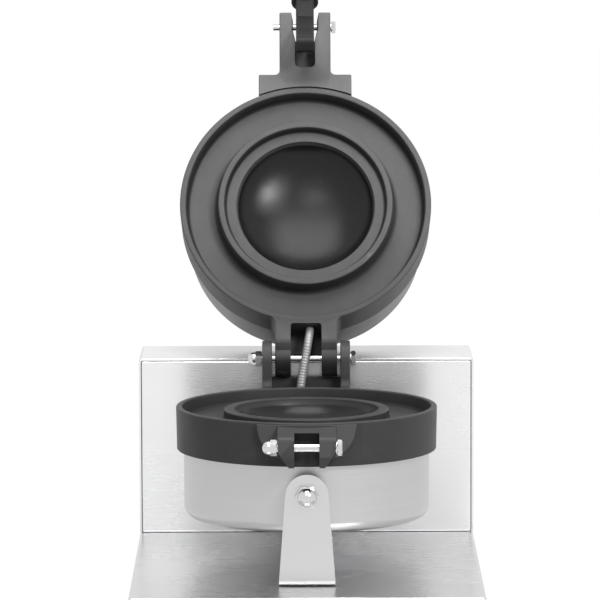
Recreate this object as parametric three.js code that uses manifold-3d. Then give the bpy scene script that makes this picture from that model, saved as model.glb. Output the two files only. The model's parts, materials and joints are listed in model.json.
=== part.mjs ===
// A countertop press that seals round filled buns between two heated cast plates.
// A folded base carries a control box at the back and a hanging lower plate in front of it.
// The lid swings on a pin behind the plates and is shown open, leaning back on its stop.
// Millimetres, +Z up, -Y towards the user. The lid and the latch are built closed in nested
// groups, and the groups are then turned to the position in which the machine is shown.

import * as THREE from "three";
import { mergeVertices, toCreasedNormals } from "three/addons/utils/BufferGeometryUtils.js";
import Module from "manifold-3d";

const wasm = await Module();
wasm.setup();

// Base and control box
const baseWidth = 250;
const baseHeight = 50;
const plateSetback = 143;
const sheet = 1.5;
const foldRadius = 2.6;
const cornerRadius = 3;
const footHeight = 12;
const footRadius = 14;
const footInset = 30;
const footDish = 2.5;
const footBore = 3;
const boxStandoff = 42.2;
const boxDepth = 75;
const panelFlange = 11;
const ventWidth = 4;
const ventLength = 20;
const ventPitch = 24;
const coverVentLength = 60;
const bumperHeight = 1.8;
const bumperRadius = 9;

// Cast plates and their drawn casings
const plateRadius = 94;
const plateWall = 31;
const skirtThickness = 5;
const rimWidth = 5.2;
const rimHeight = 115.5;
const rimRounding = 1.2;
const recessRounding = 3;
const floorThickness = 6.2;
const ringRadius = 59.6;
const ringDrop = 2.3;
const lidRingDrop = 1.8;
const bowlRadius = 50.8;
const bowlDepth = 22;
const bowlWall = 5;
const recessDepth = 10;
const lidRecessDepth = 12;
const lipOuterRadius = 65.2;
const lipInnerRadius = 62.6;
const lipHeight = 1.9;
const lidGap = 0.6;
const casingSheet = 1.2;
const casingCorner = 8.5;
const casingTuck = 6;
const casingFloorHeight = 35.6;
const lidCasingDepth = 48.9;

// Heating elements, clamps and the studs that hold the casings
const heaterTube = 8;
const heaterGapAngle = 24;
const clampSheet = 2;
const bossRadius = 9;
const bossHeight = 1.6;
const studSeat = 4.6;

// Hinge
const hingeStandoff = 23.2;
const hingeRise = 18;
const lidOpenAngle = 117.5;
const earThickness = 7.2;
const earEndRadius = 13.4;
const earRootDrop = 23;
const armThickness = 11.5;
const armEndRadius = 13;
const armGap = 23;
const armPlay = 2.4;
const hingeWebThickness = 7;
const hingeWebClearance = 0.9;
const hingeWebHeight = 20;

// Latch
const latchPinReach = 14.1;
const latchPinDrop = 15.1;
const latchEarThickness = 11.7;
const latchEarGap = 17.6;
const latchEarReach = 8;
const latchPadHalfWidth = 35;
const latchPadThickness = 3.6;
const neckWidth = 38.6;
const neckThickness = 20;
const neckReach = 63;
const neckFillet = 3;
const lugWidth = 70;
const lugThickness = 24;
const lugReach = 11;
const lugFaceDrop = 0.5;
const slotWidth = 18;
const slotReach = 44.1;
const pocketReach = 18;
const pocketDepth = 12;
const leverPinReach = 53.8;
const leverPinRise = 10;
const leverThickness = 13.6;
const leverBarHeight = 12;
const leverBossRadius = 8.5;
const leverBarLength = 23.5;
const hookLip = 4.8;
const hookBack = 6.4;
const hookArmHalf = 5.4;
const leverRaiseAngle = 16;
const collarRadius = 10.3;
const collarThickness = 5;
const gripLength = 112;
const gripRadius = 13.5;
const gripNeckRadius = 10.4;

// Bracket and conduit that carry the lower plate
const bracketTopHalfWidth = 15.3;
const bracketFootHalfWidth = 19.8;
const bracketThickness = 2.5;
const bracketBoltHeight = 64.6;
const bracketFootLength = 34;
const bracketBend = 4.5;
const bracketStandoff = 8;
const standoffRadius = 7;
const conduitHeight = 58;
const conduitRadius = 10.5;
const conduitShoulder = 14;
const conduitBore = 8;
const conduitNutThickness = 6;
const conduitNutFlats = 30;

// Lid lead
const leadRadius = 3.2;
const leadGrommetRadius = 7;
const leadExitHeight = 84;
const leadOffset = 4.5;
const leadHoleRadius = 3.7;
const leadHoleDepth = 11;
const leadHoleLength = 25;
const leadHoleOffset = 3;

// Controls
const knobRadius = 18;
const knobGripRadius = 13;
const knobSkirt = 4;
const knobHeight = 19;
const knobBore = 13;
const knobFlutes = 8;
const spindleRadius = 3;
const spindleFlat = 1.2;
const thermostatWidth = 32;
const thermostatDepth = 18;
const timerWidth = 38;
const timerDepth = 34;
const lampRadius = 5;
const lampBezelRadius = 7;
const lampBezel = 2;
const lampBody = 22;
const switchWidth = 22;
const switchHeight = 30;
const switchBezel = 2;
const switchDepth = 20;
const rockerTilt = 10;
const terminalLength = 62;
const terminalPoles = 5;
const glandHoleRadius = 8;
const glandFlats = 22;
const glandLength = 20;
const glandBore = 4.2;

// Shares of the sizes that they follow
const controlShares = { power: -0.33, powerLamp: -0.2, temperature: -0.04, heatLamp: 0.12, timer: 0.28 };
const controlRiseShare = 0.52;
const heaterShare = 0.59;
const ventShares = [-0.3, -0.18, -0.06, 0.06, 0.18, 0.3];

// General clearances
const fitGap = 0.3;
const runningGap = 0.3;
const overrun = 1;
const roundSides = 32;
const smallSides = 12;
const sweepSides = 8;
const heaterSteps = 18;
const leadSteps = 22;
const arcStep = 46;
const axisSnap = 1e-6;

// Fastener sizes: thread, width across flats, and the heights of head, nut and cap nut
const m5 = { thread: 5, flats: 8, head: 3.6, nut: 4.2, cap: 9 };
const m6 = { thread: 6, flats: 10, head: 4, nut: 5, cap: 11.5 };
const m8 = { thread: 8, flats: 13, head: 5.3, nut: 6.6, cap: 14.5 };

// Places worked out from the sizes above
const deckZ = footHeight + baseHeight;
const rimZ = deckZ + rimHeight;
const lidRimZ = rimZ + lidGap;
const hingeY = plateRadius + hingeStandoff;
const hingeZ = rimZ + hingeRise;
const skirtInside = plateRadius - skirtThickness;
const bowlOutside = ringRadius - bowlWall / 2;
const heaterRadius = bowlOutside + heaterShare * (skirtInside - bowlOutside);
const casingRadius = skirtInside - 2 * fitGap;
const casingFloorZ = deckZ + casingFloorHeight;
const casingTopZ = rimZ - plateWall + casingTuck;
const boxFrontY = plateRadius + boxStandoff;
const boxBackY = boxFrontY + boxDepth;
const latchPinY = -(plateRadius + latchPinReach);
const latchPinZ = rimZ - latchPinDrop;
const bracketInnerY = -(casingRadius + bracketStandoff);
const bracketOuterY = bracketInnerY - bracketThickness;
const radians = THREE.MathUtils.degToRad;

// Materials
const paint = (color, roughness, metalness) => new THREE.MeshStandardMaterial({ color, roughness, metalness });
const brushedSteel = paint(0xd6d8da, 0.32, 1);
const satinSteel = paint(0xb9bbbd, 0.42, 1);
const chrome = paint(0xf0f1f3, 0.08, 1);
const castBlack = paint(0x3c3c3e, 0.5, 0.2);
const leverBlack = paint(0x1e1e20, 0.35, 0.2);
const bakelite = paint(0x141415, 0.3, 0);
const rubber = paint(0x1b1b1c, 0.85, 0);
const heaterMetal = paint(0x6f7270, 0.55, 0.8);
const zinc = paint(0xa8abad, 0.4, 1);
const sheath = paint(0xc3c5c6, 0.35, 1);
const plasticBlack = paint(0x18181a, 0.45, 0);
const plasticWhite = paint(0xe6e4dc, 0.5, 0);
const redLens = paint(0xb3141a, 0.2, 0);
const greenLens = paint(0x128a3a, 0.2, 0);

// A three.js geometry as a manifold solid: shared vertices merged, flat triangles on an axis dropped.
function solidOf(geometry) {
  geometry.deleteAttribute("normal");
  geometry.deleteAttribute("uv");
  const merged = mergeVertices(geometry);
  const corners = merged.index.array;
  const kept = [];
  for (let i = 0; i < corners.length; i += 3) {
    const [a, b, c] = corners.slice(i, i + 3);
    if (a !== b && b !== c && c !== a) kept.push(a, b, c);
  }
  return new wasm.Manifold(new wasm.Mesh({
    numProp: 3,
    vertProperties: merged.attributes.position.array,
    triVerts: new Uint32Array(kept),
  }));
}

function geometryOf(solid) {
  const mesh = solid.getMesh();
  const geometry = new THREE.BufferGeometry();
  geometry.setAttribute("position", new THREE.BufferAttribute(mesh.vertProperties, 3));
  geometry.setIndex(new THREE.BufferAttribute(mesh.triVerts, 1));
  return toCreasedNormals(geometry, radians(arcStep + 1));
}

// Corners [x, y, radius] as an outline in which each corner with a radius is an arc.
function rounded(corners, closed = true) {
  const points = [];
  corners.forEach(([x, y, radius = 0], i) => {
    const here = new THREE.Vector2(x, y);
    const open = !closed && (i === 0 || i === corners.length - 1);
    if (radius <= 0 || open) {
      points.push(here);
      return;
    }
    const before = new THREE.Vector2(...corners[(i + corners.length - 1) % corners.length]).sub(here);
    const after = new THREE.Vector2(...corners[(i + 1) % corners.length]).sub(here);
    const half = before.angleTo(after) / 2;
    const reach = Math.min(radius / Math.tan(half), before.length() / 2, after.length() / 2);
    const fitted = reach * Math.tan(half);
    const inward = before.clone().normalize().add(after.clone().normalize()).normalize();
    const centre = here.clone().addScaledVector(inward, fitted / Math.sin(half));
    const start = here.clone().addScaledVector(before.normalize(), reach).sub(centre).angle();
    const end = here.clone().addScaledVector(after.normalize(), reach).sub(centre).angle();
    const sweep = THREE.MathUtils.euclideanModulo(end - start + Math.PI, 2 * Math.PI) - Math.PI;
    const steps = Math.max(1, Math.round(Math.abs(sweep) / radians(arcStep)));
    for (let k = 0; k <= steps; k++) {
      const angle = start + (sweep * k) / steps;
      points.push(new THREE.Vector2(Math.cos(angle), Math.sin(angle)).multiplyScalar(fitted).add(centre));
    }
  });
  return points;
}

// Points of a circle's arc, both ends included.
function arc(x, y, radius, from, to, steps) {
  return Array.from({ length: steps + 1 }, (_, k) => {
    const angle = from + ((to - from) * k) / steps;
    return [x + radius * Math.cos(angle), y + radius * Math.sin(angle)];
  });
}

const circle = (radius, sides, x = 0, y = 0) => Array.from({ length: sides }, (_, k) => {
  const angle = (k / sides) * 2 * Math.PI;
  return new THREE.Vector2(x + radius * Math.cos(angle), y + radius * Math.sin(angle));
});

// An outline turned about Z. It starts and ends on the axis, or else closes on itself.
function turned(outline, sides = roundSides) {
  const points = outline.map((p) => new THREE.Vector2(Math.abs(p.x) < axisSnap ? 0 : p.x, p.y));
  if (THREE.ShapeUtils.area(points) < 0) points.reverse();
  const onAxis = points.findIndex((p, i) => p.x === 0 && points.at(i - 1).x === 0);
  if (onAxis > 0) points.push(...points.splice(0, onAxis));
  if (onAxis < 0) points.push(points[0].clone());
  return solidOf(new THREE.LatheGeometry(points, sides).rotateX(Math.PI / 2));
}

// An outline in the plane square to an axis, extruded along that axis between two places.
function extruded(axis, outline, from, to, holes = []) {
  const shape = new THREE.Shape(outline);
  shape.holes = holes.map((hole) => new THREE.Path(hole));
  const geometry = new THREE.ExtrudeGeometry(shape, { depth: to - from, bevelEnabled: false });
  geometry.translate(0, 0, axis === "y" ? -to : from);
  const turn = new THREE.Matrix4();
  if (axis === "x") turn.set(0, 0, 1, 0, 1, 0, 0, 0, 0, 1, 0, 0, 0, 0, 0, 1);
  if (axis === "y") turn.set(1, 0, 0, 0, 0, 0, -1, 0, 0, 1, 0, 0, 0, 0, 0, 1);
  return solidOf(geometry.applyMatrix4(turn));
}

const rectangle = (x0, x1, y0, y1, radius = 0) => rounded([
  [x0, y0, radius], [x1, y0, radius], [x1, y1, radius], [x0, y1, radius],
]);

const block = (x0, x1, y0, y1, z0, z1) => extruded("z", rectangle(x0, x1, y0, y1), z0, z1);

// A round bar along an axis; its centre is given in the other two coordinates, in order.
const bar = (axis, radius, from, to, a = 0, b = 0, sides = smallSides) =>
  extruded(axis, circle(radius, sides, a, b), from, to);

const ring = (inner, outer, from, to, sides = smallSides) =>
  turned(rounded([[inner, from], [outer, from], [outer, to], [inner, to]]), sides);

const join = (...solids) => solids.reduce((all, next) => all.add(next));
const cut = (solid, ...tools) => tools.reduce((left, tool) => left.subtract(tool), solid);

// A box with rounded upright edges whose top edges are folded over a radius.
function foldedBlock(x0, x1, y0, y1, z0, z1, corner, fold) {
  const inset = rectangle(x0 + fold, x1 - fold, y0 + fold, y1 - fold, Math.max(corner - fold, 0));
  const shape = new THREE.Shape(inset);
  const geometry = new THREE.ExtrudeGeometry(shape, {
    depth: z1 - z0,
    bevelThickness: fold,
    bevelSize: fold,
    bevelSegments: 2,
    curveSegments: 1,
  });
  geometry.translate(0, 0, z0 - fold);
  const whole = solidOf(geometry);
  return whole.subtract(block(x0 - overrun, x1 + overrun, y0 - overrun, y1 + overrun, z0 - 3 * fold, z0));
}

// Adds one named mesh to a group.
function addPart(group, name, solid, material, place = [0, 0, 0], turn = [0, 0, 0]) {
  const mesh = new THREE.Mesh(geometryOf(solid), material);
  mesh.name = name;
  mesh.position.set(...place);
  mesh.rotation.set(...turn);
  group.add(mesh);
  return mesh;
}

// Fasteners stand on the origin and point along +Z.
const threadHole = (size) => size.thread / 2 + fitGap;
const hexagon = (size, from, to) => bar("z", size.flats / Math.sqrt(3), from, to, 0, 0, 6);
const hexBolt = (size, length) => join(
  hexagon(size, -size.head, 0),
  bar("z", size.thread / 2, -size.head / 2, length),
);
const hexNut = (size) => cut(hexagon(size, 0, size.nut), bar("z", threadHole(size), -overrun, size.nut + overrun));

function capNut(size) {
  const collar = size.flats / 2;
  const dome = turned([
    new THREE.Vector2(0, size.nut / 2),
    new THREE.Vector2(collar, size.nut / 2),
    new THREE.Vector2(collar, size.cap - collar),
    ...arc(0, size.cap - collar, collar, radians(arcStep / 2), radians(90 - arcStep / 2), 2)
      .map(([x, y]) => new THREE.Vector2(x, y)),
    new THREE.Vector2(0, size.cap),
  ], smallSides);
  const body = join(hexagon(size, 0, size.nut), dome);
  return cut(body, bar("z", threadHole(size), -overrun, size.cap - collar));
}

const machine = new THREE.Group();

// Base: a folded tray open below, closed by a vented cover that carries the feet.
const controlZ = footHeight + baseHeight * controlRiseShare;
const controlX = (name) => baseWidth * controlShares[name];
const wireHoleRadius = conduitRadius;

function baseTray() {
  const half = baseWidth / 2;
  const outer = foldedBlock(-half, half, -plateSetback, boxBackY, footHeight, deckZ, cornerRadius, foldRadius);
  const inner = foldedBlock(-half + sheet, half - sheet, -plateSetback + sheet, boxBackY - sheet,
    footHeight, deckZ - sheet, cornerRadius - sheet, foldRadius - sheet);
  const open = block(-half + sheet, half - sheet, -plateSetback + sheet, boxBackY - sheet,
    footHeight - overrun, footHeight + overrun);
  const through = [-plateSetback - overrun, -plateSetback + sheet + overrun];
  const holes = [
    bar("y", spindleRadius + 2 * fitGap, ...through, controlX("temperature"), controlZ),
    bar("y", spindleRadius + 2 * fitGap, ...through, controlX("timer"), controlZ),
    bar("y", lampRadius + fitGap, ...through, controlX("powerLamp"), controlZ),
    bar("y", lampRadius + fitGap, ...through, controlX("heatLamp"), controlZ),
    extruded("y", rectangle(
      controlX("power") - switchWidth / 2 - fitGap, controlX("power") + switchWidth / 2 + fitGap,
      controlZ - switchHeight / 2 - fitGap, controlZ + switchHeight / 2 + fitGap), ...through),
    bar("z", wireHoleRadius, deckZ - sheet - overrun, deckZ + overrun, 0, (boxFrontY + boxBackY) / 2),
  ];
  return cut(outer, inner, open, ...holes);
}

const footPlaces = [
  ["foot_front_left", -1, -plateSetback + footInset],
  ["foot_front_right", 1, -plateSetback + footInset],
  ["foot_rear_left", -1, boxBackY - footInset],
  ["foot_rear_right", 1, boxBackY - footInset],
];

function baseCover() {
  const half = baseWidth / 2 - sheet - fitGap;
  const front = -plateSetback + sheet + fitGap;
  const back = boxBackY - sheet - fitGap;
  const top = footHeight + sheet;
  const plate = extruded("z", rectangle(-half, half, front, back, cornerRadius), footHeight, top);
  const slots = ventShares.map((share) => {
    const x = baseWidth * share;
    return extruded("z", rectangle(x - ventWidth / 2, x + ventWidth / 2, -coverVentLength / 2, coverVentLength / 2),
      footHeight - overrun, footHeight + sheet + overrun);
  });
  const holes = footPlaces.map(([, side, y]) =>
    bar("z", footBore, footHeight - overrun, footHeight + sheet + overrun, side * (baseWidth / 2 - footInset), y));
  return cut(plate, ...slots, ...holes);
}

function foot() {
  return turned(rounded([
    [footBore, footDish],
    [footRadius / 2, footDish],
    [footRadius / 2, 0],
    [footRadius - footDish, 0],
    [footRadius, footHeight - fitGap],
    [footBore, footHeight - fitGap],
  ]), smallSides);
}

addPart(machine, "base_tray", baseTray(), brushedSteel);
addPart(machine, "base_cover", baseCover(), zinc);
for (const [name, side, y] of footPlaces) {
  addPart(machine, name, foot(), rubber, [side * (baseWidth / 2 - footInset), y, 0]);
}

// Lid in its own frame: plate axis at x = y = 0, rim plane at z = 0, outer face up.
// The same turn as the lid's takes a point of the closed lid to where the open lid holds it.
const openTurn = new THREE.Matrix4()
  .makeTranslation(0, hingeY, hingeZ)
  .multiply(new THREE.Matrix4().makeRotationX(-radians(lidOpenAngle)))
  .multiply(new THREE.Matrix4().makeTranslation(0, -hingeY, lidRimZ - hingeZ));
const opened = (x, y, z) => new THREE.Vector3(x, y, z).applyMatrix4(openTurn);

// The opened lid's casing rests its rear corner on a rubber stop on top of the box.
const lidDepth = plateWall + lidCasingDepth;
const casingHeel = opened(0, casingRadius - casingCorner, lidDepth - casingCorner);
const stopTopZ = casingHeel.z - casingCorner - fitGap;
const boxTopZ = stopTopZ - bumperHeight;

// Control box: a folded cover over a front and a back panel.
const leadExitZ = deckZ + leadExitHeight;
const conduitZ = deckZ + conduitHeight;
const boxHalf = baseWidth / 2;

function boxCover() {
  const outer = rounded([
    [-boxHalf, deckZ + fitGap], [boxHalf, deckZ + fitGap],
    [boxHalf, boxTopZ, foldRadius], [-boxHalf, boxTopZ, foldRadius],
  ]);
  const inner = rounded([
    [-boxHalf + sheet, deckZ], [boxHalf - sheet, deckZ],
    [boxHalf - sheet, boxTopZ - sheet, foldRadius - sheet], [-boxHalf + sheet, boxTopZ - sheet, foldRadius - sheet],
  ]);
  return cut(
    extruded("y", outer, boxFrontY, boxBackY),
    extruded("y", inner, boxFrontY - overrun, boxBackY + overrun),
    bar("z", footBore, boxTopZ - sheet - overrun, boxTopZ + overrun, 0, casingHeel.y),
  );
}

// A panel with four flanges folded inwards; side is 1 when they point towards +Y.
function boxPanel(face, side) {
  const half = boxHalf - sheet - fitGap;
  const low = deckZ + fitGap;
  const high = boxTopZ - sheet - fitGap;
  const [y0, y1] = side > 0 ? [face, face + panelFlange] : [face - panelFlange, face];
  const [c0, c1] = side > 0 ? [face + sheet, y1 + overrun] : [y0 - overrun, face - sheet];
  return cut(
    extruded("y", rectangle(-half, half, low, high, sheet), y0, y1),
    extruded("y", rectangle(-half + sheet, half - sheet, low + sheet, high - sheet), c0, c1),
  );
}

function boxFront() {
  const through = [boxFrontY - overrun, boxFrontY + sheet + overrun];
  return cut(
    boxPanel(boxFrontY, 1),
    bar("y", conduitRadius + fitGap, ...through, 0, conduitZ),
    bar("y", leadGrommetRadius - sheet, ...through, -leadOffset, leadExitZ),
  );
}

const glandX = baseWidth * ventShares[4];
const glandZ = deckZ + glandFlats;

function boxBack() {
  const through = [boxBackY - sheet - overrun, boxBackY + overrun];
  const slots = [];
  for (const share of ventShares.slice(0, 4)) {
    for (const row of [1, 2, 3]) {
      const x = baseWidth * share;
      const top = boxTopZ - row * ventPitch;
      slots.push(extruded("y", rectangle(x - ventLength / 2, x + ventLength / 2, top - ventWidth, top), ...through));
    }
  }
  return cut(boxPanel(boxBackY, -1), bar("y", glandHoleRadius + fitGap, ...through, glandX, glandZ), ...slots);
}

addPart(machine, "box_cover", boxCover(), brushedSteel);
addPart(machine, "box_front_panel", boxFront(), brushedSteel);
addPart(machine, "box_back_panel", boxBack(), brushedSteel);
addPart(machine, "lid_stop", turned(rounded([
  [footBore, 0], [bumperRadius, 0], [bumperRadius - sheet, bumperHeight, sheet], [footBore, bumperHeight],
]), smallSides), rubber, [0, casingHeel.y, boxTopZ + fitGap]);

// Front bracket: a tapered strip, bent back at its foot, with a cap nut that ties it to the casing.
const bracketTopZ = deckZ + bracketBoltHeight + bracketTopHalfWidth;

const boltZ = deckZ + bracketBoltHeight;

function frontBracket() {
  const heel = bracketOuterY + bracketFootLength;
  const low = deckZ + fitGap;
  const side = rounded([
    [bracketOuterY, bracketTopZ],
    [bracketOuterY, low, bracketBend],
    [heel, low],
    [heel, low + bracketThickness],
    [bracketInnerY, low + bracketThickness, bracketBend - bracketThickness],
    [bracketInnerY, bracketTopZ],
  ]);
  const face = [
    new THREE.Vector2(-bracketFootHalfWidth, deckZ),
    new THREE.Vector2(bracketFootHalfWidth, deckZ),
    ...arc(0, boltZ, bracketTopHalfWidth, 0, Math.PI, 10).map(([x, z]) => new THREE.Vector2(x, z)),
  ];
  const strip = extruded("x", side, -bracketFootHalfWidth, bracketFootHalfWidth);
  return cut(
    strip.intersect(extruded("y", face, bracketOuterY - overrun, heel + overrun)),
    bar("y", threadHole(m8), bracketOuterY - overrun, bracketInnerY + overrun, 0, boltZ),
    ...[-1, 1].map((s) => bar("z", threadHole(m5), deckZ, low + bracketThickness + overrun,
      (s * bracketFootHalfWidth) / 2, heel - m5.flats)),
  );
}

const casingInside = (casingRadius - casingSheet) * Math.cos(Math.PI / roundSides);
const casingInnerY = Math.sqrt(casingInside ** 2 - (m8.flats / Math.sqrt(3)) ** 2);
const boltHeadY = -(casingInnerY - fitGap);
const alongY = [-Math.PI / 2, 0, 0];
const alongMinusY = [Math.PI / 2, 0, 0];

addPart(machine, "front_bracket", frontBracket(), brushedSteel);
addPart(machine, "bracket_bolt", hexBolt(m8, -bracketOuterY + boltHeadY + m8.nut + fitGap), zinc,
  [0, boltHeadY, boltZ], alongMinusY);
addPart(machine, "bracket_spacer", ring(threadHole(m8), standoffRadius, 0, bracketStandoff - 2 * fitGap), zinc,
  [0, -casingRadius - fitGap, boltZ], alongMinusY);
addPart(machine, "bracket_cap_nut", capNut(m8), chrome, [0, bracketOuterY - fitGap, boltZ], alongMinusY);
for (const [name, side] of [["bracket_screw_left", -1], ["bracket_screw_right", 1]]) {
  addPart(machine, name, hexBolt(m5, bracketThickness), zinc,
    [(side * bracketFootHalfWidth) / 2, bracketOuterY + bracketFootLength - m5.flats, deckZ + bracketThickness + 2 * fitGap],
    [Math.PI, 0, 0]);
}

// Cast plates. Outlines are in radius and depth, where depth runs from the rim plane into the body.
function bowlArc(radius, depth, drop, steps) {
  return arc(0, 0, 1, 0, Math.PI / 2, steps).map(([x, y]) => [radius * x, drop + depth * y]);
}

function plateOutline({ recess, drop, lip }) {
  const bowlBack = drop + bowlDepth + bowlWall;
  const floorBack = recess + floorThickness;
  const skirtInner = plateRadius - skirtThickness;
  const seat = bowlBack + bossHeight;
  const ringEdge = lip
    ? [[ringRadius, drop, rimRounding], [lipInnerRadius, -lipHeight, lipHeight / 3], [lipOuterRadius, -lipHeight, lipHeight / 3]]
    : [[ringRadius, drop, rimRounding]];
  const foot = lip ? lipOuterRadius : ringRadius;
  const backReach = ringRadius - bowlWall / 2;
  return rounded([
    ...bowlArc(bowlRadius, bowlDepth, drop, 4).reverse(),
    ...ringEdge,
    [foot + rimRounding, recess, recessRounding],
    [plateRadius - rimWidth - rimRounding, recess, recessRounding],
    [plateRadius - rimWidth, 0, rimRounding],
    [plateRadius, 0, rimRounding],
    [plateRadius - rimRounding / 2, plateWall],
    [skirtInner, plateWall],
    [skirtInner, floorBack],
    ...bowlArc(backReach, bowlBack - floorBack, floorBack, 2).slice(0, -1),
    [bossRadius, bowlBack],
    [bossRadius, seat],
    [m8.thread / 2 + fitGap, seat],
    [m8.thread / 2 + fitGap, seat - studSeat],
    [0, seat - studSeat],
  ], false);
}

const sealDepth = { recess: recessDepth, drop: ringDrop, lip: false };
const lidSealDepth = { recess: lidRecessDepth, drop: lidRingDrop, lip: true };
const mirrored = (outline) => outline.map((p) => new THREE.Vector2(p.x, -p.y));

// Lower plate: latch ears in front, hinge ears behind, both cast on.
const earInner = armGap / 2 + armThickness + armPlay;
const earOuter = earInner + earThickness;
const rootY = Math.sqrt((plateRadius - skirtThickness / 2) ** 2 - earOuter ** 2);

function hingeEars() {
  const low = -earRootDrop;
  const outline = rounded([
    [rootY, low],
    [hingeStandoff + plateRadius + earEndRadius / 4, low, earEndRadius / 3],
    ...arc(hingeY, hingeRise, earEndRadius, 0, Math.PI, 10),
    [hingeY - earEndRadius, -rimRounding, earEndRadius / 3],
    [rootY, -rimRounding],
  ]);
  const web = block(-earInner - overrun, earInner + overrun, hingeY - 2 * fitGap, hingeY - 2 * fitGap + hingeWebThickness,
    hingeRise - armEndRadius - hingeWebClearance - hingeWebHeight, hingeRise - armEndRadius - hingeWebClearance);
  const ears = [-1, 1].map((s) => {
    const [x0, x1] = s < 0 ? [-earOuter, -earInner] : [earInner, earOuter];
    return extruded("x", outline, x0, x1);
  });
  return cut(join(...ears, web), bar("x", threadHole(m6), -earOuter - overrun, earOuter + overrun, hingeY, hingeRise));
}

const latchEarInner = latchEarGap / 2;
const latchEarOuter = latchEarInner + latchEarThickness;
const latchFrontY = latchPinY - latchEarReach;
const wallY = -(plateRadius - skirtThickness / 2);

function latchEars() {
  const side = rounded([
    [wallY, -rimRounding],
    [-plateRadius, -rimRounding],
    [latchFrontY, -latchPinDrop / 2, latchEarReach / 4],
    [latchFrontY, -plateWall + latchEarReach, latchEarReach / 2],
    [latchFrontY + latchEarReach, -plateWall + rimRounding],
    [wallY, -plateWall + rimRounding],
  ]);
  const gap = block(-latchEarInner, latchEarInner, latchFrontY - overrun, -plateRadius - latchPadThickness,
    -plateWall, -latchPinDrop / 3);
  const padFace = rounded([
    [-latchPadHalfWidth, -rimRounding],
    [-latchPadHalfWidth + rimRounding, -plateWall / 3, plateWall / 2],
    [-latchEarOuter / 2, -plateWall + rimRounding, plateWall / 3],
    [latchEarOuter / 2, -plateWall + rimRounding, plateWall / 3],
    [latchPadHalfWidth - rimRounding, -plateWall / 3, plateWall / 2],
    [latchPadHalfWidth, -rimRounding],
  ]);
  const padBack = Math.sqrt((plateRadius - skirtThickness / 2) ** 2 - latchPadHalfWidth ** 2);
  const pad = extruded("y", padFace, -plateRadius - latchPadThickness, -padBack)
    .subtract(bar("z", plateRadius - skirtThickness / 2, -plateWall - overrun, overrun, 0, 0, 2 * roundSides));
  const front = plateRadius + latchPadThickness;
  const limit = bar("z", front, -plateWall - overrun, overrun, 0, 0, 2 * roundSides);
  const ears = extruded("x", side, -latchEarOuter, latchEarOuter).subtract(gap);
  return cut(
    join(ears, pad.intersect(limit)),
    bar("x", threadHole(m6), -latchEarOuter - overrun, latchEarOuter + overrun, latchPinY, -latchPinDrop),
  );
}

function lowerPlate() {
  return join(turned(mirrored(plateOutline(sealDepth))), hingeEars(), latchEars());
}

addPart(machine, "lower_plate", lowerPlate(), castBlack, [0, 0, rimZ]);

// Casings: drawn cups that tuck into the plates' skirts and hang on a central stud.
function casing(depth) {
  return turned(rounded([
    [threadHole(m8), 0],
    [casingRadius, 0, casingCorner],
    [casingRadius, depth],
    [casingRadius - casingSheet, depth],
    [casingRadius - casingSheet, casingSheet, casingCorner - casingSheet],
    [threadHole(m8), casingSheet],
  ]));
}

function lowerCasing() {
  const wall = casingRadius - casingCorner;
  return cut(
    casing(casingTopZ - casingFloorZ),
    bar("y", threadHole(m8), -casingRadius - overrun, -wall, 0, boltZ - casingFloorZ),
    bar("y", conduitRadius + fitGap, wall, casingRadius + overrun, 0, conduitZ - casingFloorZ),
  );
}

addPart(machine, "lower_casing", lowerCasing(), satinSteel, [0, 0, casingFloorZ]);

// Heater parts in a plate's own frame, where z runs from the rim plane into the body.
const backOf = (plate) => plate.recess + floorThickness;
const seatOf = (plate) => plate.drop + bowlDepth + bowlWall + bossHeight;

class HeaterCurve extends THREE.Curve {
  getPoint(t, target = new THREE.Vector3()) {
    const angle = radians(90 + heaterGapAngle / 2 + t * (360 - heaterGapAngle));
    return target.set(heaterRadius * Math.cos(angle), heaterRadius * Math.sin(angle), 0);
  }
}

function heater() {
  const section = new THREE.Shape(circle(heaterTube / 2, sweepSides));
  return solidOf(new THREE.ExtrudeGeometry(section, { steps: heaterSteps, extrudePath: new HeaterCurve() }));
}

function heaterClamp(plate) {
  const low = backOf(plate) + 2 * fitGap + heaterTube;
  const high = seatOf(plate) + fitGap;
  const inner = heaterRadius - heaterTube;
  const outer = (heaterRadius + heaterTube / 2 + casingInside) / 2;
  const ridge = ringRadius;
  return turned(rounded([
    [threadHole(m8), high],
    [ridge - clampSheet, high],
    [inner, low],
    [outer, low],
    [outer, low + clampSheet],
    [inner + clampSheet / 2, low + clampSheet],
    [ridge - clampSheet / 2, high + clampSheet],
    [threadHole(m8), high + clampSheet],
  ]), roundSides / 2);
}

// One set of heater, clamp, stud and nuts; flip is -1 where the plate faces up.
function addHeaterSet(group, prefix, plate, casingDepth, rim, flip, endNut) {
  const turn = flip < 0 ? [Math.PI, 0, 0] : [0, 0, 0];
  const at = (depth) => [0, 0, rim + flip * depth];
  const seat = seatOf(plate);
  const clampTop = seat + fitGap + clampSheet;
  const studStart = seat - studSeat + fitGap;
  const nutSeat = casingDepth + fitGap;
  const studEnd = nutSeat + endNut.nut;
  addPart(group, prefix + "_heater", heater(), heaterMetal, at(backOf(plate) + fitGap + heaterTube / 2));
  addPart(group, prefix + "_heater_clamp", heaterClamp(plate), zinc, at(0), turn);
  addPart(group, prefix + "_stud", bar("z", m8.thread / 2, studStart, studEnd), zinc, at(0), turn);
  addPart(group, prefix + "_clamp_nut", hexNut(m8), zinc, at(clampTop + fitGap), turn);
  return { seat: at(nutSeat), turn };
}

const lowerDepth = rimZ - casingFloorZ;
const lowerEnd = addHeaterSet(machine, "lower", sealDepth, lowerDepth, rimZ, -1, m8);
addPart(machine, "lower_casing_nut", hexNut(m8), zinc, lowerEnd.seat, lowerEnd.turn);

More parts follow.
